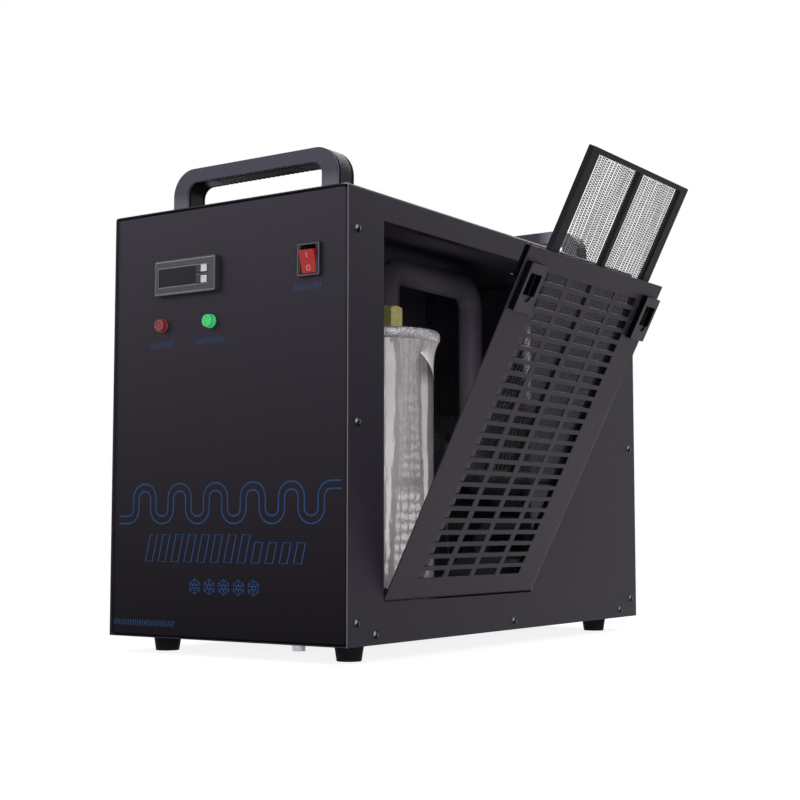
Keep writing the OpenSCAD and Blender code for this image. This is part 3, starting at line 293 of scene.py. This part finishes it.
def finish(name, color, rough, metallic=0.0, specular=0.5, coat=0.0, coat_rough=0.1, transmission=0.0,
           ior=1.5, mottle=0.12, mottle_scale=35.0, rough_vary=0.06, bumps=(), emission=0.0,
           dirt=None, painted_light_fade=None, edge=0.0, tint=EVEN, zones=()):
    """Principled material whose colour and roughness vary over the surface. bumps come from grain()
    and zones from zone(), which paint light and shade. dirt is (colour, height in metres),
    painted_light_fade paints light and shade by height as (low z, high z, share at low, share at
    high), and edge is the edges' radius in millimetres."""
    mat = bpy.data.materials.new(name)
    shader = Shader(mat)
    coords = shader.new("TexCoord").outputs
    place = coords["Object"]
    split = shader.new("SeparateXYZ")
    shader.put(place, split.inputs[0])
    axes = split.outputs

    dark = tuple(c * (1 - mottle) for c in color)
    light = tuple(min(1, c * (1 + mottle)) for c in color)
    surface = shader.blend(shader.ranged(shader.cloud(place, mottle_scale), 0, 1), dark, light)
    if dirt:
        surface = shader.blend(shader.ranged(axes["Z"], 0.35, 0.0, 0.0, dirt[1]), surface, dirt[0])
    shine = specular
    for colour, facing, away, dull, limits in zones:
        share = zone_share(shader, coords, axes, facing, away, limits)
        surface = shader.blend(share, surface, colour)
        if dull:
            shine = shader.product(shader.ranged(share, 1.0, DULL, 0.0, 1.0), shine)
    if painted_light_fade:
        low_z, high_z, low_share, high_share = painted_light_fade
        share = shader.ranged(axes["Z"], low_share, high_share, low_z, high_z)
        surface = shader.blend(1.0, surface, share, "MULTIPLY")
        shine = shader.product(share, shine)
    smoothest, roughest = max(0.02, rough - rough_vary), min(1, rough + rough_vary)
    wear = shader.ranged(shader.cloud(place, mottle_scale * 4.3), smoothest, roughest)

    bsdf = shader.nodes["Principled BSDF"].inputs
    for value, key in ((surface, "Base Color"), (wear, "Roughness"), (metallic, "Metallic"),
                       (shine, "Specular IOR Level"), (tint, "Specular Tint"), (ior, "IOR"),
                       (coat, "Coat Weight"), (coat_rough, "Coat Roughness"),
                       (transmission, "Transmission Weight")):
        shader.put(value, bsdf[key])
    if emission:
        shader.put(surface, bsdf["Emission Color"])
        shader.put(emission, bsdf["Emission Strength"])
    normal = relief(shader, place, edge, bumps)
    if normal:
        shader.put(normal, bsdf["Normal"])
    return mat


# Near-black that paints shade: the front panel's edge bands, the latches' sides and backs, and the bolts
# seen in the latch windows
PAINTED_SHADE_BLACK = (0.0012, 0.0011, 0.0015)
VIOLET = (0.95, 0.84, 1.0)
POWDER_COAT = {"mottle": 0.06, "bumps": [grain(900, 0.05), grain(260, 0.04)], "tint": VIOLET}

# Powder-coated sheets: a painted highlight along the side's front edge, and painted light on the inner
# faces of the left wall and the top, standing in for light through the opening

PAINTED_INNER_LIGHT = (0.030, 0.026, 0.037)
side_edge = (cover_high.x - 1.4 * MM, FAR)
sheet = finish("powder_coat", (0.0140, 0.0112, 0.0176), 0.46, specular=0.12, edge=0.2, **POWDER_COAT,
               zones=[zone((0.42, 0.41, 0.44), facing=FRONT, x=side_edge, z=(0.25, FAR), soft=8),
                      zone((0.10, 0.095, 0.11), facing=FRONT, x=side_edge),
                      zone(PAINTED_INNER_LIGHT, facing=(1, 0, 0), x=(-FAR, cover_low.x + 3 * MM)),
                      zone(PAINTED_INNER_LIGHT, facing=(0, 0, -1), z=(case_top - 3 * MM, FAR))])
# Front panel: painted shade darkens it towards the floor, and near-black bands of painted shade run along
# its left and top edges
panel = finish("powder_coat_front", (0.0150, 0.0125, 0.0190), 0.50, specular=0.18, edge=0.4,
               painted_light_fade=(0.02, 0.43, 0.28, 1.0), **POWDER_COAT,
               zones=[zone(PAINTED_SHADE_BLACK, soft=4, dull=True, x=(-FAR, cover_low.x + 4 * MM)),
                      zone(PAINTED_SHADE_BLACK, soft=1, dull=True, z=(case_top - 3 * MM, FAR))])
rear = finish("powder_coat_rear", (0.0150, 0.0125, 0.0190), 0.48, specular=0.16, edge=0.4, **POWDER_COAT)
# The hatch's outer face gets a painted highlight: a light line along its right edge, on its lower part
hatch_edge = (corners("hatch_panel")[1].y - 0.9 * MM, FAR)
hatch = finish("powder_coat_hatch", (0.0155, 0.0118, 0.0178), 0.44, specular=0.13, edge=0.3,
               **POWDER_COAT,
               zones=[zone((0.085, 0.08, 0.092), facing=OUT, y=hatch_edge, z=(0, 0.26, 20))])
# Black oxide screws; the heads on the right side get a painted glint on their upper front rim
screw = finish("black_oxide", (0.0008, 0.0008, 0.0010), 0.18, specular=0.08, edge=0.2,
               bumps=[grain(700, 0.02)],
               zones=[zone((0.30, 0.30, 0.32), facing=(0.1, -0.58, 0.29), x=(0, FAR))])

# Handles: painted light on the satin front and back faces, and brighter painted light near the feet and
# at the rear handle's right end

PAINTED_LIGHT_FACE = (0.042, 0.039, 0.056)
front_handle_y = corners("handle_front")[0].y
rear_handle_low, rear_handle_high = corners("handle_rear")
handle_faces = [(front_handle_y - 1 * MM, front_handle_y + 2.5 * MM),
                (rear_handle_low.y - 1 * MM, rear_handle_low.y + 2.5 * MM),
                (rear_handle_high.y - 2.5 * MM, rear_handle_high.y + 1 * MM)]
lit_feet = (0, case_top + 14 * MM, 12)
lit_end = (rear_handle_high.x - 45 * MM, FAR, 8)
handle = finish("handle_plastic", (0.0036, 0.0034, 0.0048), 0.40, specular=0.12, mottle=0.06, edge=0.8,
                tint=VIOLET, bumps=[grain(1100, 0.04)],
                zones=[*(zone(PAINTED_LIGHT_FACE, y=span) for span in handle_faces),
                       *(zone((0.15, 0.14, 0.19), y=span, z=lit_feet) for span in handle_faces),
                       zone((0.20, 0.19, 0.24), y=handle_faces[1], x=lit_end)])

# Rubber and plastics

rubber = finish("rubber", (0.0055, 0.005, 0.0065), 0.72, specular=0.08, mottle=0.25,
                bumps=[grain(500, 0.08)], dirt=((0.02, 0.019, 0.018), 0.004))
hose = finish("hose_rubber", (0.026, 0.0225, 0.031), 0.50, specular=0.25, mottle=0.06,
              bumps=[grain(300, 0.05)])
moulded = finish("moulded_black", (0.011, 0.0102, 0.0125), 0.40, specular=0.2, bumps=[grain(800, 0.03)],
                 edge=0.5, tint=VIOLET)
# The cassette frame's upward faces get painted light
cassette = finish("filter_plastic", (0.0048, 0.0046, 0.0055), 0.42, specular=0.08, edge=0.4,
                  bumps=[grain(800, 0.03)], zones=[zone((0.05, 0.048, 0.054), facing=UP)])
net_thread = finish("net_thread", (0.012, 0.012, 0.0135), 0.50, specular=0.2, bumps=[grain(2600, 0.03)])
# The bolts are near-black painted shade, so the latch windows look black; the guide strips behind the
# sheet share this material
bolt = finish("bolt_painted_shade", PAINTED_SHADE_BLACK, 0.6, specular=0.02, bumps=[grain(800, 0.03)])
# The latch plates' sides and backs are near-black, dulled painted shade
latch = finish("latch_plastic", (0.0175, 0.0145, 0.0200), 0.40, specular=0.16, bumps=[grain(900, 0.03)],
               edge=0.3, tint=VIOLET, zones=[zone(PAINTED_SHADE_BLACK, away=OUT, dull=True)])

# Controls, with painted shade on the left half of each button

bezel = finish("controller_plastic", (0.020, 0.0185, 0.024), 0.34, specular=0.22, coat=0.05, edge=0.5,
               bumps=[grain(240, 0.04, (0.2, 1, 1))])
# Light edge lines of painted highlight on the controller and switch frames
edge_highlight = finish("bezel_edge", (0.16, 0.155, 0.18), 0.3, specular=0.4, mottle=0.3, mottle_scale=260)
window = finish("smoked_window", (0.0085, 0.007, 0.0135), 0.2, specular=0.06, bumps=[grain(60, 0.02)])
button_low, button_high = corners("button_up")
painted_shade_half = (-FAR, button_low.x + 0.45 * (button_high.x - button_low.x))
silver = finish("silver_plastic", (0.26, 0.26, 0.29), 0.30, metallic=0.7, bumps=[grain(500, 0.02)],
                edge=0.4, zones=[zone((0.012, 0.012, 0.014), soft=0.4, x=painted_shade_half)])
gloss_black = finish("switch_plastic", (0.010, 0.0095, 0.012), 0.34, specular=0.14,
                     bumps=[grain(500, 0.02)], edge=0.5)
# The rocker's emission is painted light that brightens its red
red_rocker = finish("red_rocker", (0.235, 0.006, 0.006), 0.26, specular=0.3, coat=0.1, emission=0.18,
                    mottle=0.15, mottle_scale=120, bumps=[grain(200, 0.02)], edge=0.5)
GEM = {"coat": 0.3, "mottle_scale": 300, "bumps": [grain(420, 0.5, kind="cells")]}
red_lens = finish("red_lens", (0.15, 0.003, 0.010), 0.16, transmission=0.2, emission=0.15, mottle=0.6,
                  **GEM)
green_lens = finish("green_lens", (0.02, 0.36, 0.10), 0.16, transmission=0.15, emission=0.42, mottle=0.5,
                    **GEM)
blue_print = finish("blue_print", (0.0075, 0.034, 0.104), 0.42, specular=0.15, mottle=0.10,
                    bumps=[grain(900, 0.03)])
white_print = finish("white_print", (0.42, 0.33, 0.32), 0.42, mottle=0.06, bumps=[grain(900, 0.02)])

# Metal, glass and the machinery inside

chrome = finish("chrome", (0.46, 0.46, 0.48), 0.18, metallic=1.0, bumps=[grain(300, 0.02)])
zinc = finish("zinc", (0.45, 0.45, 0.47), 0.34, metallic=1.0, bumps=[grain(900, 0.02)])
brass = finish("brass", (0.34, 0.30, 0.12), 0.34, metallic=0.75, mottle=0.18, mottle_scale=60,
               bumps=[grain(60, 0.04, (1, 1, 14))], edge=0.5)
copper = finish("copper", (0.60, 0.26, 0.15), 0.28, metallic=1.0, mottle=0.22, bumps=[grain(240, 0.03)])
shell = finish("black_enamel", (0.014, 0.0135, 0.016), 0.26, specular=0.3, coat=0.15,
               bumps=[grain(120, 0.05)])
fins = finish("black_fins", (0.016, 0.0155, 0.018), 0.42, specular=0.25,
              bumps=[grain(420, 0.05, (1, 1, 0.2))])
motor = finish("motor_paint", (0.035, 0.036, 0.040), 0.38, specular=0.3, bumps=[grain(600, 0.05)],
               edge=0.5)
glass = finish("gauge_glass", (0.82, 0.88, 0.90), 0.06, transmission=0.92, ior=1.49,
               bumps=[grain(120, 0.01)])

# The tank's foil: painted light brightens it towards the floor, and painted shade darkens and dulls the
# flare under the rim where it mirrors a lamp

flare_z = (corners("tank_body")[1].z - 40 * MM, FAR)
foil = finish("tank_foil", (0.46, 0.43, 0.435), 0.09, metallic=0.4, specular=0.3, coat=0.1,
              coat_rough=0.12, mottle=0.04, mottle_scale=16, rough_vary=0.03, painted_light_fade=(0.05, 0.27, 1.9, 1.0),
              zones=[zone((0.15, 0.14, 0.14), soft=8, facing=(0.7, 0.71, 0), dull=True, z=flare_z)],
              bumps=[grain(14, 0.5, (1.6, 1.6, 0.4)), grain(110, 0.03, (1, 1, 0.8))])
tape = finish("tape_foil", (0.46, 0.44, 0.465), 0.26, metallic=0.7, coat=0.1, mottle=0.16,
              mottle_scale=90, bumps=[grain(130, 0.8, (1, 1, 1.3), "cells"), grain(420, 0.2)])

LOOKS = {name: mat for mat, names in (
    (sheet, "base_tray outer_cover fan_shroud"),
    (panel, "front_panel"),
    (rear, "rear_panel"),
    (hatch, "hatch_panel"),
    (screw, "cover_screws"),
    (rubber, "foot_front_left foot_front_right foot_rear_left foot_rear_right compressor_grommets"),
    (handle, "handle_front handle_rear"),
    (bezel, "controller_body"),
    (window, "controller_window"),
    (silver, "button_up button_down"),
    (gloss_black, "switch_body"),
    (red_rocker, "rocker"),
    (red_lens, "lamp_red"),
    (green_lens, "lamp_green"),
    (zinc, "hinge_pins"),
    (chrome, "drain_plug fan_guard"),
    (moulded, "filter_rail_front filter_rail_rear terminal_cover fan_rotor power_inlet"),
    (moulded, "filler_neck filler_cap"),
    (bolt, "latch_bolt_front latch_bolt_rear"),
    (latch, "latch_plate_front latch_plate_rear"),
    (cassette, "filter_frame"),
    (net_thread, "filter_net"),
    (foil, "tank_body"),
    (tape, "tank_rim"),
    (brass, "tank_fitting supply_port return_port"),
    (hose, "return_hose supply_hose pump_inlet_hose filler_hose suction_pipe"),
    (shell, "compressor_shell compressor_base accumulator"),
    (copper, "discharge_pipe liquid_pipe filter_drier capillary"),
    (fins, "condenser"),
    (motor, "fan_motor pump"),
    (glass, "level_gauge"),
) for name in names.split()}
for name, obj in nodes.items():
    obj.data.materials.clear()
    obj.data.materials.append(LOOKS[name])

# How pieces are made


def piece(name, verts, faces, mat, body, smooth=True, replaces=()):
    mesh = bpy.data.meshes.new(name)
    mesh.from_pydata([tuple(v) for v in verts], [], faces)
    mesh.validate()
    mesh.materials.append(mat)
    if smooth:
        mesh.shade_smooth()
    obj = bpy.data.objects.new(name, mesh)
    bpy.context.collection.objects.link(obj)
    if replaces:
        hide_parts(*replaces)
    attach(obj, body)


def ring_faces(rings, around, first=0):
    """Quads between neighbouring rings of points, each with that many points around."""
    faces = []
    for j in range(rings - 1):
        for i in range(around):
            a, b = first + j * around + i, first + j * around + (i + 1) % around
            faces.append((a, b, b + around, a + around))
    return faces


def ring_noise(angle, spread, height):
    """Noise that closes on itself round a ring; a wider spread makes it finer."""
    return noise.noise(Vector((math.cos(angle) * spread, math.sin(angle) * spread, height)))


class Strokes:
    """Collects flat ribbons, thin tubes and small prisms into one mesh."""

    def __init__(self):
        self.verts, self.faces = [], []

    def ribbon(self, path, width, normal, closed=False):
        """Flat ribbon of that width along a path, in the plane across normal."""
        n = len(path)
        first = len(self.verts)
        for i, p in enumerate(path):
            a = path[(i - 1) % n] if closed or i else p
            b = path[(i + 1) % n] if closed or i < n - 1 else p
            side = (b - a).cross(normal).normalized() * width / 2
            self.verts += [p - side, p + side]
        for i in range(n if closed else n - 1):
            a, b = first + 2 * i, first + 2 * ((i + 1) % n)
            self.faces.append((a, b, b + 1, a + 1))

    def tube(self, path, radius, sides=4):
        """Open tube round a path; its sides start from a direction that no path here runs along."""
        first, n = len(self.verts), len(path)
        for i, p in enumerate(path):
            along = (path[min(i + 1, n - 1)] - path[max(i - 1, 0)]).normalized()
            a = along.cross(Vector((0.31, 0.87, 0.39))).normalized()
            b = along.cross(a)
            for k in range(sides):
                angle = 2 * math.pi * k / sides
                self.verts.append(p + radius * (math.cos(angle) * a + math.sin(angle) * b))
        self.faces += ring_faces(n, sides, first)

    def prism(self, low, high):
        """Closed solid between two rings of points."""
        first, n = len(self.verts), len(low)
        self.verts += low + high
        quads = [(k, k + n, (k + 1) % n + n, (k + 1) % n) for k in range(n)]
        for face in (range(n), reversed(range(n, 2 * n)), *quads):
            self.faces.append(tuple(first + k for k in face))

    def build(self, name, mat, body, slot, smooth=False, replaces=()):
        piece(name, self.verts, self.faces, mat, body, smooth, replaces)


# Tank wrap and rim


def wrapped_tank():
    """Foil wrapped round the tank: lengthwise wrinkles and a flare up to the rim."""
    low, high = corners("tank_body")
    centre = (low + high) / 2
    flare = 22 * MM
    slope = ((0, 0.0), (0.45, 1.0), (0.75, 2.6), (1.0, 5.1))  # share of the flare, millimetres outward
    radius = (high.x - low.x) / 2 - slope[-1][1] * MM
    inset, fold_depth, crease_depth, least = 0.3, 0.26, 0.05, 0.02
    around, levels = 240, 130
    verts = []
    for j in range(levels + 1):
        f = j / levels
        z = low.z + (high.z - low.z) * f
        up = (z - high.z + flare) / flare
        spread = 0.0
        for (u0, r0), (u1, r1) in zip(slope, slope[1:]):
            if u0 < up:
                spread = (r0 + (r1 - r0) * min(1, (up - u0) / (u1 - u0))) * MM
        for i in range(around):
            a = 2 * math.pi * i / around
            folds, creases = ring_noise(a, 2.6, z * 4), ring_noise(a, 9, z * 26 + 7)
            depth = inset + fold_depth * folds + crease_depth * creases
            r = radius + spread - max(least, depth) * MM
            verts.append((centre.x + r * math.cos(a), centre.y + r * math.sin(a), z))
    piece("tank_wrap", verts, ring_faces(levels + 1, around), foil, "case",
          replaces=("tank_body",))


def taped_rim():
    """Crumpled foil tape over the tank's rim. Its section runs from the underside over the bulge to
    the middle of the lid, and only the part outside the lid's middle is crumpled."""
    low, high = corners("tank_rim")
    centre = (low + high) / 2
    radius = (high.x - low.x) / 2
    around, steps, bulge, top = 300, 24, 2.5 * MM, high.z - 0.6 * MM
    section = [(radius - 9 * MM, low.z + 0.1 * MM)]
    for k in range(steps + 1):
        inset = 1 - max(0.0, math.cos(math.pi * (k / steps - 0.5))) ** 0.6
        section.append((radius - bulge * inset, low.z + (high.z - low.z) * k / steps))
    section += [(radius - 6 * MM, high.z - 0.2 * MM), (radius - 14 * MM, top), (2 * MM, top)]
    verts = []
    for r0, z0 in section:
        for i in range(around):
            a = 2 * math.pi * i / around
            crumple, dents = ring_noise(a, 17, z0 * 300), ring_noise(a, 6, z0 * 90 + 3)
            r = r0 - (0.35 + 0.35 * crumple + 0.3 * dents) * MM if r0 > 10 * MM else r0
            z = z0 - (0.2 + 0.2 * crumple) * MM if z0 > low.z + 2 * MM else z0
            verts.append((centre.x + r * math.cos(a), centre.y + r * math.sin(a), z))
    piece("rim_tape", verts, ring_faces(len(section), around), tape, "case",
          replaces=("tank_rim",))


# Dust filter


def pleated_net():
    """Net with lengthwise pleats, in millimetres on the hatch. Each pleat is a ladder of thick thread
    with two rails, with open gaps between the ladders and fine threads across them."""
    draw = Strokes()
    pushed_in, frame_bar = 18, 10
    drawn_out = -joints["filter_slide"]["range_m"][0] / MM
    foot, height = pushed_in + drawn_out + frame_bar, 313.5
    mid_bar, wide, off_centre = 7, 86, 12.5
    level, lean, half_ladder = -9.5, 0.4, 0.8
    rail_r, rung_r, weave_r = 0.36 * MM, 0.62 * MM, 0.09 * MM
    pleats, steps, rungs_apart, rows = 14, 64, 2.3, 42
    for s in (-1, 1):
        centre = off_centre + s * (mid_bar + wide) / 2

        def line(i, f):
            """Sideways place of pleat i at height share f; it sways less near the frame."""
            sway = 4.2 * noise.noise(Vector((i * 0.12, f * 3.1, 4 * s)))
            sway += 1.0 * noise.noise(Vector((i * 0.7, f * 9, 9 * s)))
            edge = min(1, (i + 0.5) / 1.5, (pleats - i + 0.5) / 1.5)
            return centre - wide / 2 + (i + 0.5) * wide / pleats + sway * edge

        for i in range(pleats):
            for side in (-1, 1):
                draw.tube([on_hatch(level + lean * side, line(i, k / steps) + half_ladder * side,
                                    foot + height * k / steps) for k in range(steps + 1)], rail_r)
            v = 0.8
            while v < height - 1:
                u = line(i, v / height)
                draw.tube([on_hatch(level + lean * side, u + half_ladder * side, foot + v)
                           for side in (-1, 1)], rung_r)
                v += rungs_apart + 0.5 * noise.noise(Vector((i * 7.1, v * 0.37, 2 * s)))
        for k in range(rows):
            v = height * (k + 0.5) / rows
            path = [on_hatch(level, centre - wide / 2, foot + v)]
            for i in range(pleats):
                path.append(on_hatch(level - 0.5 + (i % 2), line(i, v / height), foot + v))
            path.append(on_hatch(level, centre + wide / 2, foot + v))
            draw.tube(path, weave_r, 3)
    draw.build("filter_threads", net_thread, "filter", "net", replaces=("filter_net",))


# Prints, and edge lines of painted highlight on the front

INK = 0.06  # height of the ink above the sheet, in millimetres


def printed(x, z):
    """Point on the front's ink, in millimetres from the middle line and the floor."""
    return Vector((middle.x + x * MM, front_y - INK * MM, z * MM))


def rounded_wave(x0, x1, z0, z1, period, radius, offset):
    """Square wave with round corners, drawn offset sideways from its middle line."""
    turns, x, level, other = [Vector((x0, 0, z0))], x0, z0, z1
    while x + period / 2 <= x1 + 0.1:
        x += period / 2
        turns += [Vector((x, 0, level)), Vector((x, 0, other))]
        level, other = other, level
    turns.pop()
    path, arc_steps = [turns[0]], 8
    for p, q, r in zip(turns, turns[1:], turns[2:]):
        d0, d1 = (q - p).normalized(), (r - q).normalized()
        c = q - d0 * radius + d1 * radius
        for k in range(arc_steps + 1):
            a = math.pi / 2 * k / arc_steps
            path.append(c - d1 * radius * math.cos(a) + d0 * radius * math.sin(a))
    path.append(turns[-1])
    line = []
    for i, p in enumerate(path):
        d = (path[min(i + 1, len(path) - 1)] - path[max(i - 1, 0)]).normalized()
        q = p + Vector((-d.z, 0, d.x)) * offset
        line.append(printed(q.x, q.z))
    return line


def outlined_bar(draw, x, foot, wide, tall, width):
    """Outline of an upright bar that leans to the right."""
    lean = 0.24 * tall
    draw.ribbon([printed(x, foot), printed(x + wide, foot), printed(x + wide + lean, foot + tall),
                 printed(x + lean, foot + tall)], width * MM, FRONT, closed=True)


def crystal(draw, cx, cz):
    """Six-armed frost crystal: three strokes through its centre, with two twigs at each end."""
    arm, fork, twig = 7.6, 4.8, 2.8
    for k in range(3):
        a = math.pi * k / 3 + math.pi / 2
        d = Vector((math.cos(a), 0, math.sin(a)))
        draw.ribbon([printed(cx + d.x * r, cz + d.z * r) for r in (-arm, arm)], 1.5 * MM, FRONT)
        for end in (-1, 1):
            foot = Vector((cx, 0, cz)) + d * fork * end
            for turn in (-1, 1):
                b = a + turn * math.pi / 3
                tip = foot + Vector((math.cos(b), 0, math.sin(b))) * twig * end
                draw.ribbon([printed(foot.x, foot.z), printed(tip.x, tip.z)], 1.1 * MM, FRONT)


def stroke_row(draw, x0, x1, count, z0, z1, lean, width):
    """Row of short slanted strokes."""
    for k in range(count):
        x = x0 + (x1 - x0) * k / count
        draw.ribbon([printed(x, z0), printed(x + lean, z1)], width * MM, FRONT)


def front_prints():
    """Plain blue ornament: a cooling coil, bars, frost crystals and rows of strokes."""
    draw = Strokes()
    for offset in (-3.6, 3.6):
        coil = rounded_wave(x0=-134, x1=139, z0=129, z1=160, period=45.4, radius=10.5, offset=offset)
        draw.ribbon(coil, 1.5 * MM, FRONT)
    bars, tall_bars = 12, 8
    for i in range(bars):
        outlined_bar(draw, -98 + i * 16.6, foot=89, wide=9, tall=26 if i < tall_bars else 19, width=1.4)
    for i in range(5):
        crystal(draw, -34 + i * 18, 66)
    stroke_row(draw, -139, -58.4, 26, 27, 32.5, lean=1.6, width=1.1)
    for x0, x1, z0, z1 in ((83, 116, 338, 344), (-96, -65, 296, 302), (-36, 1, 297, 303)):
        stroke_row(draw, x0, x1, round((x1 - x0) / 3.2), z0, z1, lean=1.8, width=0.9)
    draw.build("front_prints", blue_print, "case", "panel")


def bezel_edges():
    """Light edge lines round the controller's face and its window, and round the switch's frame, as
    painted highlights.
    """
    draw = Strokes()
    lift = 0.04 * MM

    def loop(low, high, face_y, inset, width):
        x0, x1, z0, z1 = low.x + inset * MM, high.x - inset * MM, low.z + inset * MM, high.z - inset * MM
        path = [Vector((x, face_y - lift, z)) for x, z in ((x0, z0), (x1, z0), (x1, z1), (x0, z1))]
        draw.ribbon(path, width * MM, FRONT, closed=True)

    body_low, body_high = corners("controller_body")
    window_low, window_high = corners("controller_window")
    display_high = Vector((button_high.x + 0.3 * MM, 0, window_high.z))
    switch_low, switch_high = corners("switch_body")
    loop(body_low, body_high, body_low.y, inset=1.6, width=0.7)
    loop(window_low, display_high, body_low.y, inset=-0.6, width=0.5)
    loop(switch_low, switch_high, switch_low.y, inset=1.1, width=0.35)
    draw.build("bezel_edges", edge_highlight, "case", "controller")


def rocker_marks():
    """White off ring and on bar on the rocker's face, which leans with the pressed rocker. The face
    dips towards its middle from a crest near each end."""
    pivot = Vector(joints["rocker_tilt"]["pos_m"])
    lean = math.radians(joints["rocker_tilt"]["range_deg"][1] / 2)
    up = Vector((0, -math.sin(lean), math.cos(lean)))
    out = Vector((0, -math.cos(lean), -math.sin(lean)))
    crest, dip, half_height, slope, lift = 8.6, 0.7, 10.8, 7.8, 0.05
    draw = Strokes()

    def face(x, z):
        depth = dip * min(1, (half_height - abs(z)) / slope)
        return pivot + (out * (crest - depth + lift) + Vector((x, 0, 0)) + up * z) * MM

    draw.ribbon([face(0, 3.6), face(0, 8.2)], 0.6 * MM, out)
    angles = [2 * math.pi * k / 24 for k in range(24)]
    ring = [face(2.1 * math.cos(a), -5.9 + 2.3 * math.sin(a)) for a in angles]
    draw.ribbon(ring, 0.5 * MM, out, closed=True)
    draw.build("rocker_marks", white_print, "rocker", "rocker")


# Small fillers and threads


def corner_seals():
    """Foam seals inside the two upper corners of the rear panel."""
    draw = Strokes()
    inset, thick, sheet_t, wide, tall = 6 * MM, 3 * MM, 1.3 * MM, 9 * MM, 12 * MM
    y = corners("rear_panel")[1].y - inset
    low, high = case_top - tall, case_top - sheet_t
    for side, x in ((1, cover_low.x), (-1, cover_high.x)):
        inner, outer = x + side * sheet_t, x + side * wide
        outline = ((inner, high), (outer, high), (inner, low))
        near, far = [[Vector((px, py, pz)) for px, pz in outline] for py in (y, y + thick)]
        draw.prism(near, far)
    draw.build("corner_seals", rubber, "case", "foot")


def latch_guides():
    """Guide strips beside the sliding bolts, behind the hatch's sheet. Each is placed from the middle
    of the latch plate's part that stands proud of the sheet."""
    draw = Strokes()
    proud_from, wide, below, above, outer_n, inner_n = 5, 7, 13, 17, -2.7, -3.5
    for side, beside in (("front", 7.0), ("rear", 8.4)):
        plate = nodes["latch_plate_" + side]
        points = [plate.matrix_world @ v.co - hinge for v in plate.data.vertices]
        proud = [(p.y / MM, p.dot(UP) / MM + PIN_INSET) for p in points if p.dot(OUT) > proud_from * MM]
        latch_u, latch_v = [(min(p[k] for p in proud) + max(p[k] for p in proud)) / 2 for k in (0, 1)]
        start, end = latch_u + beside, latch_u + beside + wide
        outline = ((outer_n, start), (outer_n, end), (inner_n, end), (inner_n, start))
        low, high = [[on_hatch(n, u, v) for n, u in outline] for v in (latch_v - below, latch_v + above)]
        draw.prism(low, high)
    draw.build("latch_guides", bolt, "hatch", "plastic")


def port_threads():
    """Thread ridges in the bores of the two water ports."""
    pitch, start, clear, ridge_r, steps = 1.337, 1.0, 1.6, 0.3, 30
    for mount in frame["record"]["mounts"]:
        if mount["kind"] != "threaded_hole":
            continue
        mouth, dims = Vector(mount["pos_m"]), mount["dims"]
        radius = dims["r_mm"] - 0.02
        turns = int((dims["length_mm"] - clear) / pitch)
        path = []
        for k in range(turns * steps + 1):
            a = 2 * math.pi * k / steps
            depth = start + pitch * k / steps
            path.append(mouth + Vector((radius * math.cos(a), -depth, radius * math.sin(a))) * MM)
        draw = Strokes()
        draw.tube(path, ridge_r * MM)
        draw.build(mount["name"] + "_thread", brass, "case", "brass", smooth=True)


for build in (wrapped_tank, taped_rim, pleated_net, front_prints, bezel_edges, corner_seals,
              latch_guides, rocker_marks, port_threads):
    build()
